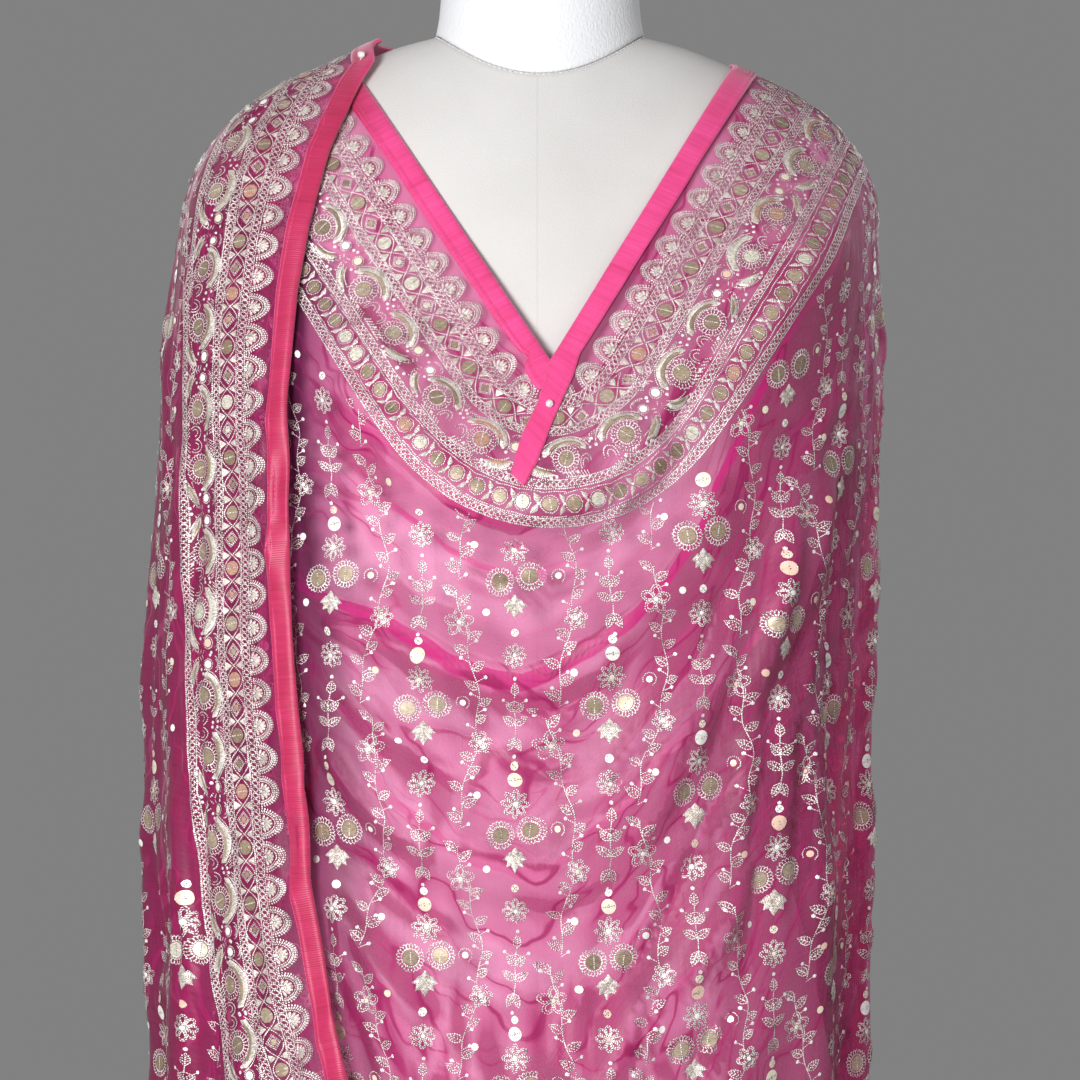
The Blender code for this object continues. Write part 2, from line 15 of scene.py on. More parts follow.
import bmesh
import bpy
import numpy as np
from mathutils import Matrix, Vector


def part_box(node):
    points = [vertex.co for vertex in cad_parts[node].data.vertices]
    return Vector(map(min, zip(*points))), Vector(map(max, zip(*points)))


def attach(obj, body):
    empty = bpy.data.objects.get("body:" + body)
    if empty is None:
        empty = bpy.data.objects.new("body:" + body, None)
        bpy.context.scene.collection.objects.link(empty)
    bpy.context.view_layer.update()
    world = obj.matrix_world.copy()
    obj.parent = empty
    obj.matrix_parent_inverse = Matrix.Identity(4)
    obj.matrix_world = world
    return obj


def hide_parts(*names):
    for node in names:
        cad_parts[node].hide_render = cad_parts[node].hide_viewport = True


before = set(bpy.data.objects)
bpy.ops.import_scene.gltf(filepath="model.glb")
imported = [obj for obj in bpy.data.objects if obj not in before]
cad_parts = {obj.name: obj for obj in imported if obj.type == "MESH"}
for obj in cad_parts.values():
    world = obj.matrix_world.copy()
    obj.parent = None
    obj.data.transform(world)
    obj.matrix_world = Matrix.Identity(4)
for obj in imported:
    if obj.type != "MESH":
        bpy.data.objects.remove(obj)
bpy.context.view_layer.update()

LOG = logging.getLogger("dupatta")
MM = 0.001
Colour = tuple[float, float, float]

# Level sections of the form and of the drape, in mm, as the solids have them.
FORM_COLUMNS = ("half_width", "front", "back", "z_side", "z_front", "z_back", "square")
FORM_SECTIONS = {
    "neck_seam": (59, 56, 58, 1459, 1432, 1468, 2.0),
    "neck_slope": (84, 67, 69, 1452, 1413, 1453, 2.05),
    "collar_bone": (113, 79, 81, 1440, 1389, 1429, 2.1),
    "mid_shoulder": (145, 90, 91, 1424, 1362, 1400, 2.2),
    "outer_shoulder": (169, 99, 99, 1402, 1334, 1370, 2.3),
    "shoulder_tip": (182, 108, 105, 1374, 1305, 1340, 2.35),
    "armhole": (183, 117, 108, 1338, 1274, 1308, 2.4),
    "chest": (176, 126, 108, 1282, 1240, 1262, 2.35),
    "bust": (167, 133, 100, 1197, 1197, 1197, 2.3),
    "under_bust": (145, 112, 88, 1120, 1120, 1120, 2.2),
    "waist": (125, 95, 80, 1045, 1045, 1045, 2.2),
    "high_hip": (150, 100, 100, 950, 950, 950, 2.25),
    "hip": (168, 106, 118, 850, 850, 850, 2.3),
    "form_hem": (163, 101, 112, 755, 755, 755, 2.3),
}
CLOTH_COLUMNS = FORM_COLUMNS + ("panel_out", "panel_up")
CLOTH_SECTIONS = {
    "neck_seam": (60, 58, 60, 1460, 1433, 1469, 2.0, 2, 5),
    "neck_slope": (85, 69, 71, 1453, 1414, 1454, 2.05, 2, 5),
    "collar_bone": (113.4, 80.2, 81.8, 1440.6, 1390, 1429.6, 2.1, 2, 5),
    "mid_shoulder": (145.8, 91.2, 91.8, 1424.7, 1363, 1400.6, 2.2, 3, 5),
    "outer_shoulder": (171, 101, 100.6, 1403, 1336, 1371, 2.3, 6, 4),
    "shoulder_tip": (187, 113, 109, 1375, 1308, 1341, 2.35, 9, 2),
    "armhole": (190, 124, 113, 1338, 1277, 1309, 2.4, 14, 0),
    "chest": (191, 135, 116, 1282, 1242, 1263, 2.4, 20, 0),
    "bust": (187, 146, 117, 1197, 1197, 1197, 2.4, 25, 0),
    "under_bust": (184, 148, 119, 1120, 1116, 1120, 2.4, 31, 0),
    "waist": (181, 147, 123, 1030, 1020, 1030, 2.4, 34, 2),
    "high_hip": (180, 146, 130, 930, 910, 926, 2.4, 34, 5),
    "hip": (181, 147, 136, 820, 785, 812, 2.4, 33, 10),
    "knee_fall": (183, 150, 140, 680, 600, 665, 2.4, 31, 28),
    "hem": (186, 154, 144, 535, 400, 510, 2.4, 29, 52),
}
HEM_LEVEL = len(CLOTH_SECTIONS) - 1
V_POINT = (0.006, 1.269)
RIGHT_SHOULDER = (0.1105, 1.4435)
LEFT_SHOULDER = (-0.108, 1.4435)
NAPE_HEIGHT = 1.432
NAPE_TO_CORNER = 1.3
CORNER_HEIGHT = 1.456
CORNER_ANGLE = -188.0
CORNER_STEP = 0.25
LOWEST_TOP_LEVEL = 9.0
END_SEARCH = (-186.0, -262.0)
HALVINGS = 40
ANGLE_NUDGE = 0.02
LEVEL_NUDGE = 0.001
FRONT_GUESS = (90.0, 7.0)
FRONT_TRIES = 30
END_EDGE_COLUMNS = ("across", "up")
END_EDGE = {
    "corner": (-84, 1456),
    "over_shoulder": (-99, 1428),
    "below_shoulder": (-115, 1388),
    "upper_chest": (-125, 1346),
    "chest": (-131, 1310),
    "above_bust": (-135, 1255),
    "bust": (-135, 1180),
    "under_bust": (-131, 1110),
    "waist": (-125, 1047),
    "high_hip": (-122, 993),
    "hip": (-114, 942),
    "low_hip": (-102, 892),
    "thigh": (-88, 830),
    "knee_fall": (-76, 700),
    "hem": (-70, 500),
}
START_ANGLE = 184.0
FRONT_TO_SIDE = 18.0
SIDE_TO_BACK = -40.0
BACK_TO_END = -150.0
SPREAD_FROM = -100.0
SPREAD_FULL = -172.0
HUG_FROM = -186.0
HUG_FULL = -234.0
EDGE_HUG = 0.6
PAST_START = 190.0
PAST_END = -400.0
FIELD_END = -260.0
WRAPS_BELOW = 22.0
TURN_RADIUS = 0.17

# Swags across the front and folds that hang, as the solids have them, in mm.
SWAGS = {
    "cowl": {
        "rise": 17, "above": 46, "below": 18,
        "path": ((-136, 1304), (-120, 1276), (-92, 1242), (-51, 1204), (-14, 1189), (24, 1199),
                 (64, 1240), (111, 1293), (150, 1336), (184, 1380)),
    },
    "second_swag": {
        "rise": 12, "above": 16, "below": 28,
        "path": ((-146, 1156), (-124, 1150), (-79, 1134), (-40, 1114), (-8, 1104), (28, 1120),
                 (58, 1148), (82, 1182), (103, 1238), (132, 1296), (168, 1360)),
    },
    "third_swag": {
        "rise": 11, "above": 18, "below": 26,
        "path": ((-144, 1138), (-124, 1116), (-103, 1083), (-74, 1042), (-38, 1010), (0, 1000),
                 (37, 1030), (70, 1077), (112, 1128), (140, 1182), (166, 1264)),
    },
    "fourth_swag": {
        "rise": 10, "above": 20, "below": 26,
        "path": ((-138, 1018), (-116, 982), (-88, 945), (-54, 904), (-24, 878), (8, 872),
                 (36, 890), (60, 924), (86, 966), (108, 1010), (128, 1060), (158, 1140)),
    },
    "fifth_swag": {
        "rise": 9, "above": 20, "below": 24,
        "path": ((-30, 742), (14, 760), (52, 798), (84, 846), (108, 896), (130, 948), (152, 1000),
                 (176, 1060)),
    },
}
HANGING_COLUMNS = ("angle", "z_top", "depth", "half_width")
HANGING_FOLDS = {
    "front_left": (91, 870, 13, 22),
    "front_middle": (74, 790, 14, 22),
    "front_right": (56, 850, 13, 22),
    "right_front": (38, 1120, 12, 22),
    "right_side": (14, 1290, 9, 18),
    "right_back": (-12, 1230, 12, 19),
    "back_outer_right": (-34, 1330, 15, 21),
    "back_right": (-53, 1250, 15, 20),
    "back_inner_right": (-71, 1330, 16, 20),
    "back_middle": (-90, 1220, 17, 21),
    "back_inner_left": (-108, 1320, 16, 20),
    "back_left": (-127, 1240, 16, 20),
    "back_outer_left": (-146, 1330, 14, 19),
    "left_back": (-166, 1210, 12, 18),
    "left_side": (-184, 1270, 9, 16),
    "left_front": (-203, 1130, 8, 17),
    "end_fold": (-220, 1000, 6, 18),
}
SWAG_STEPS = 40
SWAG_TAPER = 0.2
FOLD_ONSET = 0.16
HEM_FLARE = 0.7
TROUGH_DEPTH = 0.35
TROUGH_WIDTH = 2.2

# Small creases of the front: rise in mm, half-widths above and below, and route.
CREASES = (
    (-3.5, 6, 5, ((104, 1172), (88, 1128), (66, 1086), (40, 1040), (22, 996))),
    (3.2, 7, 5, ((92, 1146), (74, 1102), (52, 1060), (30, 1012))),
    (-3.0, 5, 6, ((122, 1190), (112, 1140), (96, 1088), (88, 1042))),
    (3.6, 6, 5, ((134, 1206), (124, 1150), (112, 1100), (106, 1046), (104, 1000))),
    (-3.2, 6, 5, ((96, 1030), (78, 1000), (60, 962), (34, 930), (10, 916))),
    (3.0, 6, 6, ((110, 1000), (92, 968), (70, 928), (48, 894))),
    (-2.8, 5, 5, ((60, 1070), (40, 1046), (16, 1030))),
    (3.0, 5, 6, ((-118, 1132), (-92, 1126), (-62, 1112), (-34, 1096))),
    (-3.0, 5, 5, ((-112, 1104), (-88, 1078), (-62, 1058), (-40, 1046))),
    (3.2, 6, 5, ((-116, 1072), (-98, 1044), (-76, 1020), (-50, 1006))),
    (-2.6, 5, 5, ((-104, 1016), (-86, 994), (-62, 974), (-38, 962))),
    (2.8, 6, 5, ((-110, 988), (-92, 960), (-70, 934), (-46, 916))),
    (-2.6, 5, 5, ((-66, 1196), (-40, 1178), (-14, 1172), (10, 1178))),
    (2.6, 5, 5, ((-48, 1160), (-22, 1150), (6, 1148), (30, 1160))),
    (2.4, 4, 5, ((14, 1170), (36, 1184), (56, 1208), (70, 1232))),
    (-2.8, 5, 5, ((-30, 1092), (-6, 1082), (18, 1090), (36, 1104))),
    (2.6, 5, 5, ((-24, 1062), (0, 1054), (20, 1060))),
    (-2.4, 4, 5, ((-14, 984), (6, 976), (28, 984), (44, 1000))),
    (2.8, 5, 5, ((-60, 900), (-34, 876), (-10, 862))),
    (-2.6, 5, 5, ((20, 870), (44, 890), (64, 920), (78, 950))),
    (3.0, 6, 6, ((148, 1240), (146, 1180), (140, 1120), (138, 1060), (140, 990), (140, 930))),
    (-3.2, 6, 6, ((160, 1230), (158, 1170), (156, 1110), (152, 1040), (152, 960), (150, 900))),
    (2.8, 5, 6, ((130, 1120), (126, 1070), (126, 1010), (122, 950))),
    (-2.6, 5, 5, ((116, 1062), (110, 1020), (112, 976), (106, 930))),
    (2.2, 4, 5, ((-84, 1216), (-66, 1200), (-46, 1190))),
    (-2.4, 5, 5, ((86, 1262), (72, 1240), (60, 1218))),
    (-2.4, 5, 5, ((132, 1330), (118, 1308), (98, 1286))),
    (2.2, 5, 5, ((-96, 1300), (-84, 1276), (-66, 1254))),
    (-2.2, 4, 5, ((-104, 1272), (-88, 1252), (-70, 1236))),
    (2.4, 5, 5, ((48, 1010), (62, 1032), (72, 1058))),
    (-2.4, 5, 5, ((-78, 1154), (-60, 1142), (-40, 1136))),
)
CREASE_STEPS = 9
CREASE_GAIN = 1.5

# Fine crinkles: where their noise starts, width, length and height in metres.
CRINKLES = ((3, 0.012, 0.052, 0.0020), (5, 0.020, 0.09, 0.0030))
CRINKLE_PATCHES = 20
CRINKLE_SWAY = 0.008
LEAN_REACH = 0.12
LEAN_MOST = 0.5

# Small creases of the side, back and end: angle and height at both ends, rise and half-width.
WRAP_COLUMNS = ("angle_a", "z_a", "angle_b", "z_b", "rise", "half_width")
WRAP_CREASES = {
    "side_one": (16, 1330, -6, 1210, 3.0, 6),
    "side_two": (4, 1180, 8, 1040, -3.0, 7),
    "side_three": (-20, 1290, -26, 1120, 3.2, 7),
    "side_four": (10, 980, 2, 820, 2.6, 7),
    "shoulder_back_one": (-30, 1380, -62, 1330, 2.6, 6),
    "shoulder_back_two": (-46, 1350, -80, 1290, -2.8, 6),
    "back_one": (-58, 1290, -66, 1130, 2.8, 7),
    "back_two": (-82, 1310, -78, 1160, -2.6, 6),
    "back_three": (-98, 1270, -103, 1090, 2.6, 6),
    "back_four": (-116, 1350, -134, 1280, -2.8, 6),
    "back_five": (-120, 1180, -118, 1010, 2.8, 7),
    "back_six": (-64, 1040, -60, 860, -2.6, 7),
    "back_seven": (-100, 960, -96, 780, 2.8, 8),
    "left_one": (-156, 1320, -170, 1180, 3.0, 6),
    "left_two": (-176, 1240, -178, 1060, -2.6, 6),
    "left_three": (-192, 1300, -196, 1150, 2.4, 6),
    "left_four": (-172, 1000, -176, 840, 2.8, 7),
    "left_five": (-196, 1010, -194, 850, -2.6, 6),
    "left_six": (-210, 960, -212, 800, 2.4, 6),
}
WRAP_STEPS = 7
WRAP_BOW = 0.004

# Bindings and borders: widths from the cloth's edge, in mm.
BINDING = 13.0
BORDER_END = 84.0
END_BORDER_END = 62.0
TAIL_LEFT = ((6, 1269), (0, 1248), (-9, 1227), (-15, 1206))
TAIL_RIGHT = ((18, 1259), (9, 1238), (1, 1217), (-8, 1200))

# Laying out the motifs of the field, in mm.
COLUMN_PITCH = 50.0
REPEAT = 137.0
FIRST_COLUMN = -13.0
FIRST_COLUMN_HEIGHT = 1050.0
FIRST_PAIR_HEIGHT = 1020.0
FIELD_LEVEL = 8.5
GRAIN_RISE = 0.5
GRAIN_RISE_FROM = 0.04
COLUMN_MARGIN = 0.08

# What the small unevenness of each kind of needlework starts from.
BORDER_SEED = 11
FIELD_SEED = 23
STITCH_SEED = 41

# Rows and columns of the sheet, how its rows crowd, and sizes in metres.
SHELL_ROWS = 270
SHELL_COLUMNS = (76, 62, 40, 74)
END_SHELL_COLUMNS = 88
SHELL_LIFT = 0.0006
ROW_CROWDING = 1.2
SETTLED_LEVEL = 3.4
NECK_TOP = 1.548
TUCK_UNDER = (0.0066, -0.0101)
RIBBON_SPANS = (("side", FRONT_TO_SIDE, SIDE_TO_BACK), ("back", SIDE_TO_BACK, BACK_TO_END),
                ("end", BACK_TO_END, PAST_END))


# Numbers shared by the shapes
def read_table(table: dict, columns: Sequence[str]) -> dict[str, np.ndarray]:
    """Reads a table of millimetres.

    Args:
        table: rows by name.
        columns: what each column holds.
    Returns:
        The columns as arrays, in metres where they are lengths.
    """
    rows = np.array(list(table.values()), float)
    read = dict(zip(columns, rows.T))
    return {name: values if name.startswith(("square", "angle")) else values * MM
            for name, values in read.items()}


def along(values: np.ndarray, level: np.ndarray) -> np.ndarray:
    """Reads a smooth curve through values, one to a section.

    Args:
        values: the value at each whole level.
        level: fractional levels.
    Returns:
        The curve at those levels.
    """
    level = np.clip(level, 0, len(values) - 1)
    low = np.minimum(np.asarray(level).astype(int), len(values) - 2)
    part = level - low
    padded = np.concatenate([[2 * values[0] - values[1]], values, [2 * values[-1] - values[-2]]])
    before, first, second, after = (padded[low + k] for k in range(4))
    return first + 0.5 * part * (
        second - before
        + part * (2 * before - 5 * first + 4 * second - after
                  + part * (3 * (first - second) + after - before))
    )


def smooth(value: np.ndarray) -> np.ndarray:
    """0 below 0, 1 above 1, and an S curve between."""
    share = np.clip(value, 0, 1)
    return share * share * (3 - 2 * share)


def pairs(angle: np.ndarray, level: np.ndarray) -> np.ndarray:
    """Angles and levels as a line of pairs."""
    return np.stack(np.broadcast_arrays(angle, level), axis=-1).astype(float)


def unit(vectors: np.ndarray) -> np.ndarray:
    """Vectors brought to length one."""
    return vectors / np.maximum(np.linalg.norm(vectors, axis=-1, keepdims=True), 1e-12)


def lengths_of(points: np.ndarray) -> np.ndarray:
    """Length run so far at each point of a line."""
    steps = np.linalg.norm(np.diff(points, axis=0), axis=1)
    return np.concatenate([[0.0], np.cumsum(steps)])


def read_at(stops: np.ndarray, run: np.ndarray, values: np.ndarray) -> np.ndarray:
    """Rows of values read at some stops along their run."""
    return np.stack([np.interp(stops, run, column) for column in values.T], axis=1)


def spaced(line: np.ndarray, points: np.ndarray, step: float) -> np.ndarray:
    """Spreads the points of a line evenly.

    Args:
        line: (angle, level) pairs.
        points: the same places in space.
        step: the spacing wanted, in metres.
    Returns:
        Pairs at an even spacing close to the one wanted.
    """
    run = lengths_of(points)
    stops = np.linspace(0, run[-1], max(int(round(run[-1] / step)), 2) + 1)
    return read_at(stops, run, line)


def soft_noise(across: np.ndarray, down: np.ndarray, seed: int) -> np.ndarray:
    """Smooth noise between -1 and 1 with one bump to a unit of length."""
    table = np.random.default_rng(seed).uniform(-1, 1, (61, 67))
    column, row = np.floor(across).astype(int), np.floor(down).astype(int)
    right, low = smooth(across - column), smooth(down - row)

    def corner(step_across: int, step_down: int) -> np.ndarray:
        """Noise at one corner of each cell."""
        return table[(column + step_across) % 61, (row + step_down) % 67]

    upper = corner(0, 0) * (1 - right) + corner(1, 0) * right
    lower = corner(0, 1) * (1 - right) + corner(1, 1) * right
    return upper * (1 - low) + lower * low


@dataclass
class Sections:
    """Level sections stacked into a surface."""

    table: dict[str, np.ndarray]

    def points(self, angle: np.ndarray, level: np.ndarray, out: np.ndarray = 0.0,
               up: np.ndarray = 0.0) -> np.ndarray:
        """Points of the surface.

        Args:
            angle: degrees round the form.
            level: fractional sections down.
            out: how far each section is widened.
            up: how far each point is raised.
        Returns:
            Places in space.
        """
        table = self.table
        cosine, sine = np.cos(np.radians(angle)), np.sin(np.radians(angle))
        power = 2 / along(table["square"], level)
        depth = np.where(sine > 0, along(table["front"], level), along(table["back"], level)) + out
        z_mid = np.where(sine > 0, along(table["z_front"], level), along(table["z_back"], level))
        half = along(table["half_width"], level) + out
        return np.stack([
            half * np.sign(cosine) * np.abs(cosine) ** power,
            -depth * np.sign(sine) * np.abs(sine) ** power,
            along(table["z_side"], level) * cosine**2 + z_mid * sine**2 + up,
        ], axis=-1)


class Drape:
    """The cloth's lie round the form: where its surface and its edges run, and its folds."""

    def __init__(self) -> None:
        """Reads the tables."""
        self.sections = Sections(read_table(CLOTH_SECTIONS, CLOTH_COLUMNS))
        self.edge = read_table(END_EDGE, END_EDGE_COLUMNS)
        self.hanging = read_table(HANGING_FOLDS, HANGING_COLUMNS)
        self.wraps = read_table(WRAP_CREASES, WRAP_COLUMNS)

    def plain(self, angle: np.ndarray, level: np.ndarray) -> np.ndarray:
        """The cloth before its folds, spreading outwards towards the free end."""
        table = self.sections.table
        spread = smooth((SPREAD_FROM - angle) / (SPREAD_FROM - SPREAD_FULL))
        hug = 1 - EDGE_HUG * smooth((HUG_FROM - angle) / (HUG_FROM - HUG_FULL))
        out, up = along(table["panel_out"], level), along(table["panel_up"], level)
        return self.sections.points(angle, level, out * spread * hug, up * spread)

    def slopes(self, angle: np.ndarray, level: np.ndarray) -> tuple[np.ndarray, np.ndarray]:
        """How the plain surface moves with its angle and with its level."""
        level = np.clip(level, 0.004, HEM_LEVEL - 0.004)
        by_angle = (self.plain(angle + ANGLE_NUDGE, level)
                    - self.plain(angle - ANGLE_NUDGE, level)) / (2 * ANGLE_NUDGE)
        by_level = (self.plain(angle, level + LEVEL_NUDGE)
                    - self.plain(angle, level - LEVEL_NUDGE)) / (2 * LEVEL_NUDGE)
        return by_angle, by_level

    def moved(self, line: np.ndarray, steps: np.ndarray) -> np.ndarray:
        """Moves places over the surface.

        Args:
            line: (angle, level) pairs.
            steps: how far each one goes in space, along the surface.
        Returns:
            The pairs after the move.
        """
        return line + np.einsum("kij,kj->ki", self.turning(line), steps)

    def turning(self, line: np.ndarray) -> np.ndarray:
        """Matrices that turn a step in space at each place into a step of angle and level."""
        return np.linalg.pinv(np.stack(self.slopes(line[:, 0], line[:, 1]), axis=-1))

    def top_line(self, across: np.ndarray, behind: np.ndarray) -> np.ndarray:
        """Height of the long top edge at a place across, in front or behind the shoulders."""
        right = V_POINT[1] + (RIGHT_SHOULDER[1] - V_POINT[1]) * (across - V_POINT[0]) / (
            RIGHT_SHOULDER[0] - V_POINT[0])
        left = V_POINT[1] + (LEFT_SHOULDER[1] - V_POINT[1]) * (V_POINT[0] - across) / (
            V_POINT[0] - LEFT_SHOULDER[0])
        nape = NAPE_HEIGHT + np.where(
            across > 0,
            (RIGHT_SHOULDER[1] - NAPE_HEIGHT) * smooth(across / RIGHT_SHOULDER[0]),
            (CORNER_HEIGHT - NAPE_HEIGHT) * smooth(across / LEFT_SHOULDER[0] * NAPE_TO_CORNER),
        )
        return np.where(behind, nape, np.maximum(right, left))

    @staticmethod
    def halve(miss: Callable, low: np.ndarray, high: np.ndarray) -> np.ndarray:
        """The value between low and high where miss turns from positive to negative."""
        for _ in range(HALVINGS):
            middle = (low + high) / 2
            over = miss(middle) > 0
            low, high = np.where(over, middle, low), np.where(over, high, middle)
        return (low + high) / 2

    def top_level(self, angle: np.ndarray) -> np.ndarray:
        """Level at which the top edge crosses each angle."""

        def miss(level: np.ndarray) -> np.ndarray:
            """Height above the edge."""
            point = self.plain(angle, level)
            return point[..., 2] - self.top_line(point[..., 0], angle < 0)

        return self.halve(miss, np.zeros_like(angle), np.full_like(angle, LOWEST_TOP_LEVEL))

    def end_angle(self, level: np.ndarray) -> np.ndarray:
        """Angle at which the free end's edge crosses each level."""

        def miss(angle: np.ndarray) -> np.ndarray:
            """Distance past the edge."""
            point = self.plain(angle, level)
            return np.interp(-point[..., 2], -self.edge["up"], self.edge["across"]) - point[..., 0]

        return self.halve(miss, *(np.full_like(level, angle) for angle in END_SEARCH))

    def end_line(self, share: np.ndarray) -> np.ndarray:
        """Pairs at shares down the free end's edge, from its rounded corner to the hem."""
        corner = self.top_level(np.array([CORNER_ANGLE]))[0]
        level = corner + (HEM_LEVEL - corner) * share
        round_off = smooth((level - corner) / (2 * CORNER_STEP))
        return pairs(CORNER_ANGLE + (self.end_angle(level) - CORNER_ANGLE) * round_off, level)

    def front_place(self, across: float, up: float) -> np.ndarray:
        """Angle and level of a place on the front, seen from the front, in metres."""
        place = np.array(FRONT_GUESS)
        for _ in range(FRONT_TRIES):
            here = self.plain(*place)
            steps = [(self.plain(*(place + move)) - here)[[0, 2]]
                     for move in ((0.01, 0), (0, 0.001))]
            turn = np.linalg.solve(np.array(steps).T, np.array([across, up]) - here[[0, 2]])
            place = place + np.clip(turn * (0.01, 0.001), (-6, -0.5), (6, 0.5))
        return place

    def inset(self, line: np.ndarray, inwards: tuple[float, float], width: float) -> np.ndarray:
        """A line of places moved over the cloth by a width.

        Args:
            line: (angle, level) pairs.
            inwards: which way to go, as a share of angle and of level.
            width: how far, in metres.
        Returns:
            The pairs after the move.
        """
        by_angle, by_level = self.slopes(line[:, 0], line[:, 1])
        ahead = unit(np.gradient(self.plain(line[:, 0], line[:, 1]), axis=0))
        guide = by_angle * inwards[0] + by_level * inwards[1]
        side = unit(guide - (guide * ahead).sum(1)[:, None] * ahead)
        return self.moved(line, side * width)

    @staticmethod
    def path_rise(flat: np.ndarray, path: np.ndarray, rise: float, above: float,
                  below: float) -> np.ndarray:
        """How far one swag or crease pushes the front out.

        Args:
            flat: places seen from the front, across and up.
            path: the crest's route in the same terms.
            rise: its height.
            above: how far it takes to fade upwards.
            below: how far it takes to fade downwards.
        Returns:
            The push at each place.
        """
        lengths = lengths_of(path)
        nearest = np.full(flat.shape[:-1], np.inf)
        over, done = np.zeros_like(nearest), np.zeros_like(nearest)
        for k, (start, stop) in enumerate(zip(path[:-1], path[1:])):
            step = stop - start
            share = np.clip(((flat - start) @ step) / (step @ step), 0, 1)
            gap = flat - (start + share[..., None] * step)
            far = np.hypot(gap[..., 0], gap[..., 1])
            closer = far < nearest
            nearest = np.where(closer, far, nearest)
            over = np.where(closer, gap[..., 1] * step[0] - gap[..., 0] * step[1], over)
            here = (lengths[k] + share * (lengths[k + 1] - lengths[k])) / lengths[-1]
            done = np.where(closer, here, done)
        fade = np.where(over > 0, above, below)
        ends = smooth(done / SWAG_TAPER) * smooth((1 - done) / SWAG_TAPER)
        return rise * ends * np.exp(-((nearest / fade) ** 2))

    def front_rise(self, points: np.ndarray) -> np.ndarray:
        """How far the swags and creases of the front push it out."""
        flat = points[..., [0, 2]]
        total = np.zeros(flat.shape[:-1])
        for swag in SWAGS.values():
            path = self.curve(swag["path"], SWAG_STEPS)
            total += self.path_rise(flat, path, *(swag[k] * MM for k in ("rise", "above", "below")))
        for rise, above, below, route in CREASES:
            path = self.curve(route, CREASE_STEPS)
            reach = 3 * max(above, below) * MM
            near = ((flat > path.min(0) - reach) & (flat < path.max(0) + reach)).all(-1)
            total[near] += self.path_rise(flat[near], path, CREASE_GAIN * rise * MM, above * MM,
                                          below * MM)
        return total

    @staticmethod
    def curve(route: Sequence, steps: int) -> np.ndarray:
        """A smooth line through places given in mm."""
        places = np.array(route, float) * MM
        stops = np.linspace(0, len(places) - 1, steps)
        return np.stack([along(places[:, 0], stops), along(places[:, 1], stops)], axis=1)

    def hanging_depth(self, points: np.ndarray, angle: np.ndarray) -> np.ndarray:
        """How far the hanging folds push the cloth in or out."""
        total = np.zeros(angle.shape)
        turn = np.hypot(points[..., 0], points[..., 1])
        for at, z_top, depth, half in zip(*(self.hanging[name] for name in HANGING_COLUMNS)):
            apart = np.radians(angle - at) * turn
            grown = smooth((z_top - points[..., 2]) / FOLD_ONSET)
            drop = np.clip((z_top - points[..., 2]) / z_top, 0, 1)
            total += depth * grown * (1 + HEM_FLARE * drop) * (
                np.exp(-((apart / half) ** 2))
                - TROUGH_DEPTH * np.exp(-((apart / (TROUGH_WIDTH * half)) ** 2)))
        return total

    def wrap_rise(self, points: np.ndarray, angle: np.ndarray) -> np.ndarray:
        """How far the creases of the side, back and end push the cloth out."""
        total = np.zeros(angle.shape)
        flat = np.stack([np.radians(angle) * TURN_RADIUS, points[..., 2]], axis=-1)
        for a, z_a, b, z_b, rise, half in zip(*(self.wraps[name] for name in WRAP_COLUMNS)):
            ends = np.array([[math.radians(a) * TURN_RADIUS, z_a],
                             [math.radians(b) * TURN_RADIUS, z_b]])
            path = ends[0] + np.linspace(0, 1, WRAP_STEPS)[:, None] * (ends[1] - ends[0])
            path[:, 0] += WRAP_BOW * np.sin(np.linspace(0, math.pi, WRAP_STEPS))
            total += self.path_rise(flat, path, rise, half, half)
        return total

    def crinkle(self, points: np.ndarray, angle: np.ndarray, depth: np.ndarray) -> np.ndarray:
        """Fine uneven crinkles, slanting towards the right shoulder and upright elsewhere.

        Args:
            points: places of the plain surface.
            angle: their angles.
            depth: how far below the top edge they are, in metres.
        Returns:
            The push at each place.
        """
        turn, high = np.radians(angle) * TURN_RADIUS, points[..., 2]
        front = np.sin(np.radians(angle)) * (angle > 0)
        lean = np.where(front > 0, np.clip(points[..., 0] / LEAN_REACH + 0.1, -1, 1) * LEAN_MOST,
                        0.0)
        sway = CRINKLE_SWAY * soft_noise(turn / 0.05, high / 0.05, 2)
        across = turn + lean * (high - 1.0) + sway
        total = np.zeros(angle.shape)
        for seed, width, length, height in CRINKLES:
            ridge = soft_noise(across / width, high / length + across / width * 0.13, seed)
            total += height * (1 - 2.2 * np.abs(ridge)) * smooth(
                0.5 + soft_noise(turn / 0.06, high / 0.07, seed + CRINKLE_PATCHES))
        calm = smooth((depth - 0.012) / 0.02) * (0.3 + 0.7 * smooth((depth - 0.08) / 0.05))
        return total * calm + 0.0005 * smooth((0.09 - depth) / 0.03) * smooth(depth / 0.02)


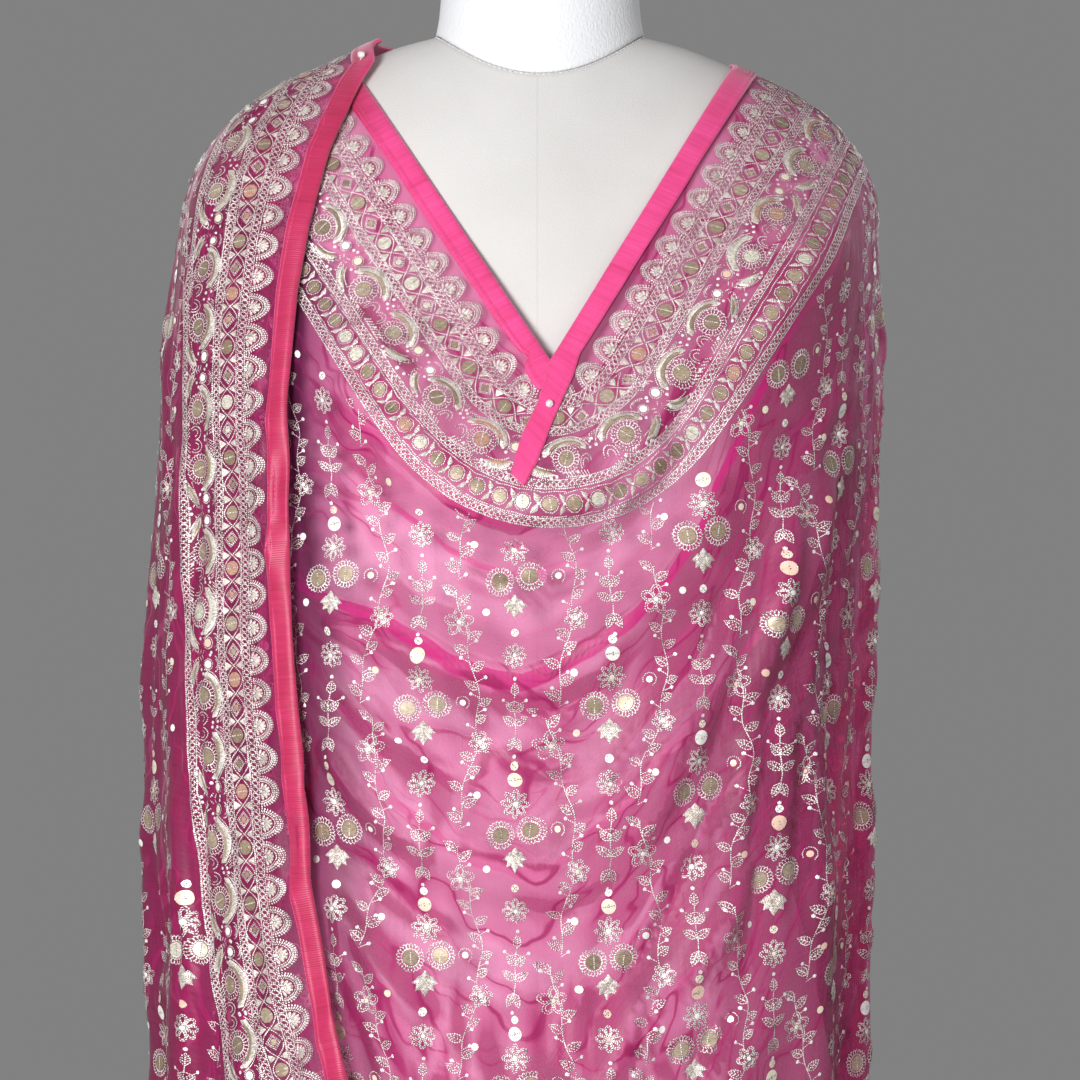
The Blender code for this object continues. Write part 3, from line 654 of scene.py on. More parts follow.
class Lattice:
    """The folded cloth as an even net of places and normals, read between its knots."""

    angle_low = -264.0
    angle_high = 188.0
    angle_step = 0.5
    level_step = 0.02
    # How far to both sides of a place its slopes are read, in degrees and levels.
    angle_reach = 1.2
    level_reach = 0.06
    # How much of a drop in height counts as depth below the top edge.
    depth_share = 0.7
    # Where the front's folds fade in and the side's take over.
    front_from = 0.05
    front_over = 0.3
    side_from = 12.0
    side_over = 26.0
    # Spacing of the fold coordinates, in metres.
    lowest_crest = 0.2
    least_gap = 0.012
    fold_pitch = 0.1

    def __init__(self, drape: Drape) -> None:
        """Works out the net.

        Args:
            drape: the lie of the cloth.
        """
        self.drape = drape
        self.angles = np.arange(self.angle_low, self.angle_high, self.angle_step)
        self.levels = np.arange(0, HEM_LEVEL + self.level_step / 2, self.level_step)
        angle, level = np.meshgrid(self.angles, self.levels, indexing="ij")
        points = drape.plain(angle, level)
        normal = self.normals(points)
        tops = drape.top_level(self.angles)
        top_points = drape.plain(self.angles, tops)
        depth = np.clip(top_points[:, None, 2] - points[..., 2], 0, None) * self.depth_share
        front = angle > 0
        in_front = smooth((np.sin(np.radians(angle)) - self.front_from) / self.front_over) * front
        push = drape.hanging_depth(points, angle) + drape.crinkle(points, angle, depth)
        push[front] += drape.front_rise(points[front].reshape(-1, 3)) * in_front[front]
        rest = angle < WRAPS_BELOW
        push[rest] += drape.wrap_rise(points[rest], angle[rest])
        folded = points + normal * push[..., None]
        facing = self.normals(folded)
        self.net = np.concatenate([folded, facing], axis=-1).astype(np.float32)
        steep = 1 - (facing * normal).sum(-1)
        self.looks = np.stack([*self.flow(points, angle), steep, push / 0.01], axis=-1)
        self.soft = self.softened(folded)
        self.runs = np.stack([self.run(self.soft, 0), self.run(self.soft, 1)], axis=-1)

    @staticmethod
    def softened(points: np.ndarray) -> np.ndarray:
        """A net of points with its fine crinkles evened out."""
        for axis in (0, 1):
            last = points.shape[axis] - 1
            near = [points.take(np.clip(np.arange(last + 1) + k, 0, last), axis=axis)
                    for k in range(-5, 6)]
            points = sum(near) / len(near)
        return points

    @staticmethod
    def run(points: np.ndarray, axis: int) -> np.ndarray:
        """Lengths run along one way of a net of points."""
        steps = np.linalg.norm(np.diff(points, axis=axis), axis=-1)
        start = np.zeros_like(points[..., 0]).take([0], axis=axis)
        return np.concatenate([start, np.cumsum(steps, axis=axis)], axis=axis)

    def flow(self, points: np.ndarray, angle: np.ndarray) -> tuple[np.ndarray, np.ndarray]:
        """Coordinates that follow the folds: across them in swags, and along them in metres.

        Args:
            points: places of the plain surface.
            angle: their angles.
        Returns:
            The two coordinates. The crest of each swag lies at a whole number.
        """
        across, high = points[..., 0], points[..., 2]
        crests = [self.drape.top_line(across, np.zeros(across.shape, bool))]
        for swag in SWAGS.values():
            path = np.array(swag["path"], float) * MM
            crests.append(np.interp(across, path[:, 0], path[:, 1]))
        crests.append(crests[-1] - self.lowest_crest)
        front = -1 + sum(
            np.clip((upper - high) / np.maximum(upper - lower, self.least_gap), 0, 1)
            for upper, lower in zip(crests[:-1], crests[1:]))
        path = np.array(SWAGS["second_swag"]["path"], float) * MM
        length = np.interp(across, path[:, 0], lengths_of(path))
        turn = np.radians(angle) * TURN_RADIUS / self.fold_pitch
        share = smooth((angle - self.side_from) / self.side_over)
        return front * share + turn * (1 - share), length * share + high * (1 - share)

    def gathered(self, table: np.ndarray, angle: np.ndarray, level: np.ndarray) -> np.ndarray:
        """Reads any table of the net between its knots."""
        across = np.clip((angle - self.angle_low) / self.angle_step, 0, len(self.angles) - 1.001)
        down = np.clip(level / self.level_step, 0, len(self.levels) - 1.001)
        i, j = across.astype(int), down.astype(int)
        a, b = (across - i)[..., None], (down - j)[..., None]
        return (table[i, j] * (1 - a) + table[i + 1, j] * a) * (1 - b) + (
            table[i, j + 1] * (1 - a) + table[i + 1, j + 1] * a) * b

    def axes(self, angle: np.ndarray, level: np.ndarray) -> tuple[np.ndarray, np.ndarray]:
        """How the folded cloth moves with its angle and level, over a few millimetres."""
        level = np.clip(level, 0.1, HEM_LEVEL - 0.1)
        by_angle = (self.gathered(self.soft, angle + self.angle_reach, level)
                    - self.gathered(self.soft, angle - self.angle_reach, level))
        by_level = (self.gathered(self.soft, angle, level + self.level_reach)
                    - self.gathered(self.soft, angle, level - self.level_reach))
        return by_angle / (2 * self.angle_reach), by_level / (2 * self.level_reach)

    def shifted(self, angle: float, level: np.ndarray, x: np.ndarray,
                y: np.ndarray) -> np.ndarray:
        """Moves over the folded cloth by lengths along and down it.

        Args:
            angle: where the column hangs.
            level: the starting levels, one to a motif.
            x: how far each point lies to the viewer's right, in metres.
            y: how far each point lies up, in metres.
        Returns:
            (angle, level) pairs.
        """
        column = self.gathered(self.runs, np.full_like(self.levels, angle), self.levels)[:, 1]
        start = np.interp(level, self.levels, column)
        down = np.interp(start[:, None] - y, column, self.levels)
        at = np.full(down.shape, angle)
        home = self.gathered(self.runs, at, down)[..., 0]
        for _ in range(3):
            here = self.gathered(self.runs, at, down)[..., 0]
            pace = (self.gathered(self.runs, at + 0.5, down)[..., 0]
                    - self.gathered(self.runs, at - 0.5, down)[..., 0])
            at = at + np.clip((home - x - here) / np.maximum(pace, 1e-4), -6, 6)
        return np.stack([at, down], axis=-1)

    @staticmethod
    def normals(points: np.ndarray) -> np.ndarray:
        """Unit normals of a net of points, away from the form."""
        return unit(np.cross(np.gradient(points, axis=0), np.gradient(points, axis=1)))

    def read(self, angle: np.ndarray, level: np.ndarray) -> tuple[np.ndarray, np.ndarray]:
        """Places and normals of the folded cloth.

        Args:
            angle: degrees round the form.
            level: fractional sections down.
        Returns:
            Points in space and unit normals.
        """
        value = self.gathered(self.net, angle, level)
        return value[..., :3], unit(value[..., 3:])

    def outward(self, grid: np.ndarray) -> np.ndarray:
        """The normal at the face in the middle of a grid of pairs."""
        rows, columns = grid.shape[0] - 1, grid.shape[1] - 1
        place = grid[divmod(rows * columns // 2, columns)]
        return self.read(place[0], place[1])[1]

    def lifted(self, line: np.ndarray, lift: np.ndarray) -> np.ndarray:
        """Places of (angle, level) pairs moved off the cloth by a lift in metres."""
        points, normal = self.read(line[..., 0], line[..., 1])
        return points + normal * np.asarray(lift)[..., None]


# Meshes
def object_of(name: str, data: bpy.types.Mesh) -> bpy.types.Object:
    """Links a mesh to the scene as an object of the same name."""
    made = bpy.data.objects.new(name, data)
    bpy.context.scene.collection.objects.link(made)
    return made


def dress(made: bpy.types.Object, materials: Iterable[bpy.types.Material], slot: str,
          *nodes: str) -> bpy.types.Object:
    """Gives a piece its finish and its place in the frame.

    Args:
        made: the piece.
        materials: its finishes.
        slot: the name of a material slot; not used.
        nodes: the solids that it stands for.
    Returns:
        The piece.
    """
    for material in materials:
        made.data.materials.append(material)
    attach(made, "root")
    if nodes:
        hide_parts(*nodes)
    count = sum(len(face.vertices) - 2 for face in made.data.polygons)
    LOG.info("%s: %d triangles", made.name, count)
    return made


def mesh_of(name: str, shape: bmesh.types.BMesh) -> bpy.types.Mesh:
    """A mesh made of a finished shape, which is freed."""
    data = bpy.data.meshes.new(name)
    shape.to_mesh(data)
    shape.free()
    return data


def grid_shape(rows: int, columns: int) -> bmesh.types.BMesh:
    """A flat grid, its corners numbered row by row."""
    shape = bmesh.new()
    bmesh.ops.create_grid(shape, x_segments=columns - 1, y_segments=rows - 1, size=1)
    return shape


def grid_faces(rows: int, columns: int) -> np.ndarray:
    """Faces of a grid, as corners numbered row by row."""
    shape = grid_shape(rows, columns)
    shape.verts.index_update()
    faces = np.array([[corner.index for corner in face.verts] for face in shape.faces])
    shape.free()
    return faces


def grid_mesh(name: str, points: np.ndarray, uv: np.ndarray, outward: np.ndarray,
              weld: bool = False) -> bpy.types.Object:
    """A smooth sheet through a grid of points.

    Args:
        name: the piece's name.
        points: rows and columns of places.
        uv: their flat places in metres.
        outward: a direction that its first faces should look to.
        weld: whether edges that meet are joined.
    Returns:
        The piece.
    """
    data = mesh_of(name, grid_shape(*points.shape[:2]))
    data.vertices.foreach_set("co", points.reshape(-1, 3).astype(np.float32).ravel())
    corner = np.empty(len(data.loops), np.int32)
    data.loops.foreach_get("vertex_index", corner)
    layer = data.uv_layers.new(name="flat")
    layer.data.foreach_set("uv", uv.reshape(-1, 2)[corner].astype(np.float32).ravel())
    data.update()
    middle = data.polygons[len(data.polygons) // 2]
    if middle.normal.dot(Vector([float(value) for value in outward])) < 0:
        data.flip_normals()
    if weld:
        shape = bmesh.new()
        shape.from_mesh(data)
        bmesh.ops.remove_doubles(shape, verts=shape.verts, dist=1e-5)
        bmesh.ops.recalc_face_normals(shape, faces=shape.faces)
        shape.to_mesh(data)
        shape.free()
    data.shade_smooth()
    return object_of(name, data)


def flat_lengths(points: np.ndarray) -> np.ndarray:
    """Flat places of a grid of points: run along its rows and down its columns."""
    across = np.linalg.norm(np.diff(points, axis=1), axis=2)
    down = np.linalg.norm(np.diff(points, axis=0), axis=2)
    u = np.concatenate([np.zeros((len(points), 1)), np.cumsum(across, axis=1)], axis=1)
    v = np.concatenate([np.zeros((1, points.shape[1])), np.cumsum(down, axis=0)], axis=0)
    return np.stack([np.broadcast_to(u.mean(0), u.shape), v], axis=-1)


# Needlework
class Thread(Enum):
    """What a stitch or a sewn-on bit is made of; the value is its material's index."""

    CORD = 0
    SATIN = 1
    DISC = 2
    SEQUIN = 3
    BEAD = 4


class Stitching:
    """Flat needlework in mm: x runs along, y across, and each part has a height."""

    # Faces of the strips made so far, by their rows and columns.
    strips: dict[tuple[int, int], np.ndarray] = {}

    def __init__(self) -> None:
        """Starts with nothing sewn."""
        self.points: list[np.ndarray] = []
        self.uv: list[np.ndarray] = []
        self.faces: list[np.ndarray] = []
        self.kinds: list[int] = []
        self.count = 0

    def add(self, points: np.ndarray, uv: np.ndarray, faces: np.ndarray,
            kinds: Sequence[int]) -> None:
        """Adds faces over points.

        Args:
            points: places as x, y and height.
            uv: run along and share across.
            faces: four corners each, with -1 where a face has only three.
            kinds: what each face is made of, as the values of Thread.
        """
        self.points.append(points)
        self.uv.append(uv)
        self.faces.append(np.where(faces < 0, -1, faces + self.count))
        self.kinds.extend(kinds)
        self.count += len(points)

    def paste(self, other: "Stitching", centre: tuple[float, float], degrees: float) -> None:
        """Adds all of another piece of needlework, turned and moved."""
        points, uv, faces, kinds = other.joined()
        flat = turned(points[:, :2], degrees) + centre
        self.add(np.column_stack([flat, points[:, 2]]), uv, faces, kinds.tolist())

    def band(self, rows: np.ndarray, kind: Thread) -> None:
        """Adds a strip through rows of points, each row running along it."""
        key = rows.shape[:2]
        if key not in self.strips:
            self.strips[key] = grid_faces(*key)
        run = lengths_of(rows[0, :, :2])
        uv = np.stack(np.meshgrid(run, np.linspace(0, 1, key[0])), axis=-1)
        faces = self.strips[key]
        self.add(rows.reshape(-1, 3), uv.reshape(-1, 2), faces, [kind.value] * len(faces))

    def stroke(self, path: Sequence, width: float = 0.62, height: float = 0.35,
               kind: Thread = Thread.CORD) -> None:
        """Adds a line of thread.

        Args:
            path: its route.
            width: how wide it lies.
            height: how far above the cloth.
            kind: what it is made of.
        """
        line = np.array(path, float)
        ahead = unit(np.gradient(line, axis=0))
        side = np.stack([-ahead[:, 1], ahead[:, 0]], axis=1) * width / 2
        rows = [np.column_stack([line - side, np.full(len(line), height)]),
                np.column_stack([line + side, np.full(len(line), height)])]
        self.band(np.array(rows), kind)

    def loop(self, centre: tuple[float, float], size: tuple[float, float], turn: float = 0.0,
             steps: int = 7, **words: float) -> None:
        """Adds an oval of thread round a centre."""
        around = np.linspace(0, 2 * math.pi, steps)
        oval = np.stack([size[0] * np.cos(around), size[1] * np.sin(around)], axis=1)
        self.stroke(turned(oval, turn) + centre, **words)

    def satin(self, spine: Sequence, widths: Sequence[float], height: float = 0.4,
              crown: float = 0.5, kind: Thread = Thread.SATIN) -> None:
        """Adds a padded leaf or crescent of close stitches.

        Args:
            spine: its middle line.
            widths: how wide it is at each point of the spine.
            height: how high its edges lie.
            crown: how much higher its middle is.
            kind: what it is made of.
        """
        line, wide = np.array(spine, float), np.array(widths, float)
        ahead = unit(np.gradient(line, axis=0))
        side = np.stack([-ahead[:, 1], ahead[:, 0]], axis=1) * wide[:, None] / 2
        full = wide / wide.max()
        rows = [np.column_stack([line - side, np.full(len(line), height)]),
                np.column_stack([line, height + crown * full]),
                np.column_stack([line + side, np.full(len(line), height)])]
        self.band(np.array(rows), kind)

    def disc(self, centre: tuple[float, float], radius: float, sides: int = 10,
             height: float = 0.7, kind: Thread = Thread.DISC) -> None:
        """Adds a flat round, slightly cupped."""
        shape = bmesh.new()
        bmesh.ops.create_circle(shape, cap_ends=True, cap_tris=True, segments=sides, radius=radius)
        shape.verts.index_update()
        points = np.array([vertex.co[:] for vertex in shape.verts])
        faces = np.array([[corner.index for corner in face.verts] + [-1] for face in shape.faces])
        shape.free()
        far = np.hypot(points[:, 0], points[:, 1]) / radius
        uv = points[:, :2] / radius
        points = points + (*centre, 0)
        points[:, 2] = height - 0.18 * far
        self.add(points, uv, faces, [kind.value] * len(faces))

    def bead(self, centre: tuple[float, float], radius: float = 1.1, height: float = 0.9) -> None:
        """Adds a small six-sided bead."""
        self.disc(centre, radius, 6, height, Thread.BEAD)

    def sequin(self, centre: tuple[float, float], radius: float, sides: int = 8,
               height: float = 0.8) -> None:
        """Adds a flat sequin."""
        self.disc(centre, radius, sides, height, Thread.SEQUIN)

    def rails(self, half: float, far: float, width: float) -> None:
        """Adds two straight lines, one to each side of the middle."""
        for y in (-far, far):
            self.stroke([(-half, y), (half, y)], width)

    def bar(self, centre: tuple[float, float], length: float, turn: float) -> None:
        """Adds the stitch that holds a disc down."""
        ends = turned(np.array([[-length / 2, 0], [length / 2, 0]]), turn) + centre
        self.stroke(ends, 0.6, 0.85)

    def joined(self) -> tuple[np.ndarray, np.ndarray, np.ndarray, np.ndarray]:
        """Everything sewn, as points, flat places, faces and materials."""
        return (np.concatenate(self.points), np.concatenate(self.uv),
                np.concatenate(self.faces), np.array(self.kinds))


def turned(points: np.ndarray, degrees: float) -> np.ndarray:
    """Flat points turned round the origin."""
    cosine, sine = math.cos(math.radians(degrees)), math.sin(math.radians(degrees))
    return points @ np.array([[cosine, sine], [-sine, cosine]])


def arc(centre: tuple[float, float], radius: tuple[float, float], start: float, stop: float,
        steps: int) -> np.ndarray:
    """Points of an oval arc, its angles in degrees."""
    around = np.radians(np.linspace(start, stop, steps))
    return np.stack([centre[0] + radius[0] * np.cos(around),
                     centre[1] + radius[1] * np.sin(around)], axis=1)


class Motifs:
    """The repeating shapes of the embroidery, drawn flat in mm; y runs in from the edge."""

    @staticmethod
    def scallop() -> Stitching:
        """One scallop of the outer row: a rim of short stitches over a fan of petals."""
        sewn = Stitching()
        base = (0.0, 6.2)
        for degrees in np.linspace(-176, -4, 21):
            inner, outer = (arc(base, (8.6 * k, 12.6 * k), degrees, degrees, 1)[0]
                            for k in (0.8, 1.0))
            sewn.stroke([inner, outer], 0.78)
        sewn.stroke(arc(base, (6.6, 9.6), -180, 0, 11), 0.62, 0.3)
        sewn.stroke(arc(base, (5.6, 8.4), -178, -2, 10), 0.5, 0.3)
        for degrees in (-164, -138, -112, -88, -64, -40, -16):
            tip, root = (arc(base, (4.7 * k, 7.2 * k), degrees, degrees, 1)[0] for k in (1, 0.36))
            sewn.satin([root, (root + tip) / 2, tip], (0.4, 1.7, 1.1), 0.35, 0.35)
        sewn.stroke(arc(base, (1.8, 2.4), -180, 0, 6), 0.6, 0.3)
        sewn.bead((0.0, 5.2), 1.0)
        return sewn

    @staticmethod
    def net() -> Stitching:
        """One link of the broad band of slanting ovals."""
        sewn = Stitching()
        sewn.loop((0, 0), (1.3, 2.0), 24, 7, width=0.72)
        sewn.rails(1.65, 2.6, 0.65)
        return sewn

    @staticmethod
    def chain() -> Stitching:
        """One link of a narrow chain between two lines."""
        sewn = Stitching()
        sewn.loop((0, 0), (1.35, 1.5), 20, 7, width=0.78)
        sewn.rails(1.7, 2.25, 0.7)
        return sewn

    @staticmethod
    def diamonds() -> Stitching:
        """Two diamonds of the ogee row: one with a large disc, one with a small square one."""
        sewn = Stitching()
        half = 14.7
        wave = np.linspace(-half, half, 17)
        for sign in (-1, 1):
            bend = sign * 5.3 * np.cos(np.pi * wave / half)
            sewn.stroke(np.stack([wave, bend], axis=1), 0.6)
        sewn.rails(half, 6.1, 0.5)
        sewn.disc((0, 0), 4.1, 10)
        sewn.bar((0, 0), 7.6, 84)
        sewn.loop((half, 0), (4.2, 4.0), 0, 5, width=0.5)
        sewn.loop((half, 0), (3.2, 3.0), 0, 5, width=0.6)
        sewn.disc((half, 0), 1.9, 6, 0.6)
        for x in (-7.35, 7.35):
            for y in (-1, 1):
                sewn.satin([(x, y * 5.6), (x, y * 3.6), (x, y * 1.5)], (4.6, 2.8, 0.2), 0.35, 0.4)
        return sewn

    @staticmethod
    def crescent() -> Stitching:
        """One unit of the broad row: a ringed disc under a horned crescent, leaf and sprigs."""
        sewn = Stitching()
        Motifs.ringed_disc(sewn, (-3.0, 1.6), 4.1, 8.2, 22, 70)
        spine = arc((-4.0, 1.4), (12.6, 10.8), -156, -6, 12)
        sewn.satin(spine, (0.6, 4.0, 2.8, 3.2, 3.8, 4.4, 4.6, 4.4, 3.8, 3.2, 4.2, 0.6), 0.4, 0.9)
        for gap in (-2.7, 2.7):
            sewn.stroke(arc((-4.0, 1.4), (12.6 + gap, 10.8 + gap), -150, -10, 12), 0.6)
        sewn.satin(arc((-4.0, 1.4), (11.5, 9.7), -142, -26, 10),
                   (0.4, 1.7, 1.9, 2.1, 2.2, 2.2, 2.2, 2.0, 1.6, 0.4), 1.0, 0.3, Thread.DISC)
        leaf = arc((2.0, 0.6), (14.6, 9.6), 16, 84, 7)
        sewn.satin(leaf, (0.4, 2.8, 3.8, 4.0, 3.6, 2.2, 0.3), 0.4, 0.8)
        sewn.satin(arc((2.0, 0.6), (13.8, 8.8), 26, 74, 6), (0.3, 1.5, 1.8, 1.8, 1.4, 0.3), 1.0,
                   0.25, Thread.DISC)
        for gap in (-2.3, 2.3):
            sewn.stroke(arc((2.0, 0.6), (14.6 + gap, 9.6 + gap), 14, 84, 8), 0.55)
        sewn.sequin((13.6, -4.2), 2.3)
        sewn.loop((13.6, -4.2), (3.1, 3.1), 0, 9, width=0.5)
        sewn.stroke(arc((13.4, -8.8), (4.4, 2.6), 170, 350, 8), 0.6)
        sewn.stroke(arc((13.4, -9.4), (2.4, 1.3), 170, 350, 6), 0.5)
        sewn.stroke(arc((-15.4, 4.6), (3.6, 4.8), 190, 400, 9), 0.6)
        sewn.stroke(arc((-15.2, 4.8), (1.9, 2.8), 190, 400, 7), 0.5)
        for k in range(8):
            x = -17.5 + 1.9 * k
            sewn.stroke([(x, 10.9), (x + 1.7, 8.5)], 0.6)
            sewn.stroke([(0.8 * x - 3.0, -10.6), (0.8 * x - 4.4, -8.6)], 0.55)
        sewn.stroke([(-18.4, 11.3), (-2.0, 11.3)], 0.55)
        for k in range(5):
            sewn.stroke([(17.2 - 0.5 * k, -1.0 + 2.2 * k), (19.2 - 0.5 * k, 0.2 + 2.2 * k)], 0.6)
        for spot in ((8.6, -0.4), (11.2, 1.0), (-18.4, -3.6), (-18.2, -7.4), (3.0, 11.0),
                     (6.0, 11.6), (18.6, -6.4), (-9.8, 9.2), (18.0, 10.6)):
            sewn.bead(spot, 0.95, 1.0)
        return sewn

    @staticmethod
    def leaves_and_disc() -> Stitching:
        """One unit of the inner row: a disc in a thin ring, then a pair of leaves."""
        sewn = Stitching()
        sewn.disc((-2.6, 0), 3.7, 9)
        sewn.bar((-2.6, 0), 6.8, 82)
        sewn.loop((-2.6, 0), (4.4, 4.6), 0, 10, width=0.5)
        for sign in (-1, 1):
            sewn.satin([(4.6, sign * 0.5), (4.0, sign * 2.8), (2.2, sign * 5.4)], (0.8, 2.8, 0.3),
                       0.4, 0.6)
            sewn.stroke([(-6.5, sign * 6.0), (0, sign * 6.5), (6.5, sign * 6.0)], 0.5)
        sewn.bead((5.0, 0), 0.8)
        return sewn

    @staticmethod
    def ringed_disc(sewn: Stitching, centre: tuple[float, float], disc: float, ring: float,
                    loops: int, turn: float) -> None:
        """Adds a held-down disc in a ring of little loops.

        Args:
            sewn: what it is added to.
            centre: its middle.
            disc: the disc's radius.
            ring: the ring's outer radius.
            loops: how many loops go round.
            turn: which way the holding stitch lies.
        """
        sewn.disc(centre, disc, 12)
        sewn.bar(centre, disc * 1.7, turn)
        sewn.loop(centre, (disc + 0.7, disc + 0.7), 0, 13, width=0.7)
        around = np.linspace(0, 2 * math.pi, 2 * loops + 1)
        far = np.where(np.arange(2 * loops + 1) % 2, ring, ring - 0.9)
        rim = np.stack([far * np.cos(around), far * np.sin(around)], axis=1)
        sewn.stroke(rim + centre, 0.72)
        for angle, reach in zip(around[:-1:2], far[:-1:2]):
            way = np.array([math.cos(angle), math.sin(angle)])
            sewn.stroke([way * (disc + 0.8) + centre, way * reach + centre], 0.6)

    @staticmethod
    def blossom(petals: int, reach: float, inner: float, heart: float = 1.5) -> Stitching:
        """An outline flower, each petal drawn twice and crossed with short stitches.

        Args:
            petals: how many.
            reach: how far each one comes from the middle.
            inner: how far its widest place is from the middle.
            heart: radius of the sequin in the middle.
        Returns:
            The flower.
        """
        sewn = Stitching()
        half = math.pi / petals * 0.92
        for k in range(petals):
            at = 360 / petals * k
            for size in (1.0, 0.6):
                wide = inner * math.tan(half) * size
                tip = inner + (reach - inner) * size
                petal = np.array([(1.4, 0), (inner * 0.75, wide * 0.8), (inner * 1.1, wide),
                                  (tip * 0.93, wide * 0.55), (tip, 0), (tip * 0.93, -wide * 0.55),
                                  (inner * 1.1, -wide), (inner * 0.75, -wide * 0.8), (1.4, 0)])
                sewn.stroke(turned(petal, at), 0.5)
        sewn.loop((0, 0), (heart + 0.7, heart + 0.7), 0, 9, width=0.55)
        sewn.sequin((0, 0), heart, 8, 0.9)
        return sewn

    @staticmethod
    def flat_sequin() -> Stitching:
        """A large flat sequin with its cross thread."""
        sewn = Stitching()
        sewn.sequin((0, 0), 4.0, 14, 0.7)
        sewn.bar((0, 0), 7.6, 12)
        sewn.bar((0, 0), 2.4, 100)
        return sewn

    @staticmethod
    def ringed_pair() -> Stitching:
        """Two ringed discs side by side, one a little higher."""
        sewn = Stitching()
        Motifs.ringed_disc(sewn, (-8.2, -1.4), 4.2, 7.7, 22, 96)
        Motifs.ringed_disc(sewn, (8.2, 1.4), 4.2, 7.7, 22, 84)
        return sewn

    @staticmethod
    def leaf_cluster() -> Stitching:
        """Padded leaves that hang below a pair of discs."""
        sewn = Stitching()
        for degrees, reach, wide in ((-14, 6.2, 4.4), (-50, 6.8, 4.6), (-90, 8.0, 5.2),
                                     (-130, 6.8, 4.6), (-166, 6.2, 4.4)):
            leaf = turned(np.array([(0.4, 0), (reach * 0.35, 0), (reach * 0.7, 0), (reach, 0)]),
                          degrees)
            sewn.satin(leaf, (1.2, wide, wide * 0.8, 0.8), 0.5, 1.2)
            edge = np.array([(0.5, -0.6), (reach * 0.4, -wide / 2 - 0.5), (reach + 0.6, 0),
                             (reach * 0.4, wide / 2 + 0.5), (0.5, 0.6)])
            sewn.stroke(turned(edge, degrees), 0.6)
        sewn.satin([(0, -1.5), (0, 2.2), (0, 4.8)], (1.6, 4.4, 0.6), 0.6, 1.2)
        return sewn

    @staticmethod
    def leaf(sewn: Stitching, root: tuple[float, float], degrees: float, length: float = 11.0,
             wide: float = 5.6) -> None:
        """Adds a pointed outline leaf with its midline and a few slanting stitches."""
        edge = np.array([(0, 0), (length * 0.28, wide * 0.44), (length * 0.6, wide * 0.42),
                         (length, 0), (length * 0.6, -wide * 0.42), (length * 0.28, -wide * 0.44),
                         (0, 0)])
        sewn.stroke(turned(edge, degrees) + root, 0.55)
        rib = np.array([(length * 0.12, 0), (length * 0.82, 0)])
        sewn.stroke(turned(rib, degrees) + root, 0.6)
        for share in (0.3, 0.5, 0.7):
            for side in (-1, 1):
                vein = np.array([(length * share, 0),
                                 (length * (share + 0.13), side * wide * 0.32)])
                sewn.stroke(turned(vein, degrees) + root, 0.45)

    @staticmethod
    def sprig() -> Stitching:
        """A tulip on a short stem over pairs of leaves, with bead buds."""
        sewn = Stitching()
        sewn.stroke([(0, -15), (0.6, -8), (0, -2), (-0.6, 5), (0, 12)], 0.5)
        for root, tilt, length in ((-6, 58, 8.6), (2, 50, 7.0)):
            for sign in (-1, 1):
                Motifs.leaf(sewn, (0, root), 90 + sign * tilt, length, 4.6)
        for sign in (-1, 1):
            sewn.stroke([(0, 8), (sign * 3.4, 6.8), (sign * 6.0, 8.4)], 0.45)
            sewn.bead((sign * 6.6, 8.9), 1.05)
            Motifs.leaf(sewn, (sign * 0.4, -13), -90 + sign * 24, 8.0, 4.4)
        Motifs.leaf(sewn, (0, 11.4), 90, 7.0, 4.8)
        sewn.bead((0, 20.6))
        sewn.bead((0, -23.4))
        return sewn

    @staticmethod
    def cross_sequin() -> Stitching:
        """A small flat sequin held by a cross."""
        sewn = Stitching()
        sewn.sequin((0, 0), 2.3)
        for turn in (45, -45):
            sewn.bar((0, 0), 4.2, turn)
        return sewn

    @staticmethod
    def vine() -> Stitching:
        """A climbing vine with a star flower, leaves, bead buds and a curled tendril."""
        sewn = Stitching()

        def stem(height: float) -> float:
            """How far the stem sways at a height."""
            return (5.6 * math.cos(2 * math.pi * height / REPEAT)
                    + 1.3 * math.sin(8 * math.pi * height / REPEAT))

        climb = np.linspace(-REPEAT / 2 + 4, REPEAT / 2 - 4, 37)
        sewn.stroke([(stem(height), height) for height in climb], 0.5)
        sewn.paste(Motifs.blossom(5, 8.0, 4.4, 1.3), (-5.0, 46.0), 18)
        sewn.paste(Motifs.blossom(6, 6.4, 3.8, 1.2), (6.0, -20.0), 10)
        for height, degrees, length in ((-62, 150, 9), (-54, 28, 9), (-45, 156, 8.6),
                                        (-37, 30, 8.4), (-29, 158, 8.4), (-9, 34, 7.0),
                                        (1, 28, 7.0), (10, 150, 9), (20, 34, 8), (29, 152, 9),
                                        (37, 26, 8.6), (56, 40, 9), (62, 150, 9)):
            Motifs.leaf(sewn, (stem(height), height), degrees, length, 5.0)
        for height, side in ((-66, 1), (-58, -1), (-50, 1), (-41, 1), (-33, -1), (-25, 1),
                             (-13, -1), (-4, 1), (5, -1), (14, 1), (24, -1), (33, 1), (52, 1),
                             (60, -1)):
            root = stem(height)
            sewn.stroke([(root, height), (root + side * 3.8, height + 2.0)], 0.45)
            sewn.bead((root + side * 4.5, height + 2.4))
        sewn.stroke(arc((-3.0, 2.0), (3.8, 3.8), -60, 210, 8), 0.5)
        for spot, radius in (((-3.0, 2.0), 1.9), ((9.4, 52.0), 2.1), ((3.6, -48.0), 2.1)):
            sewn.sequin(spot, radius)
        return sewn


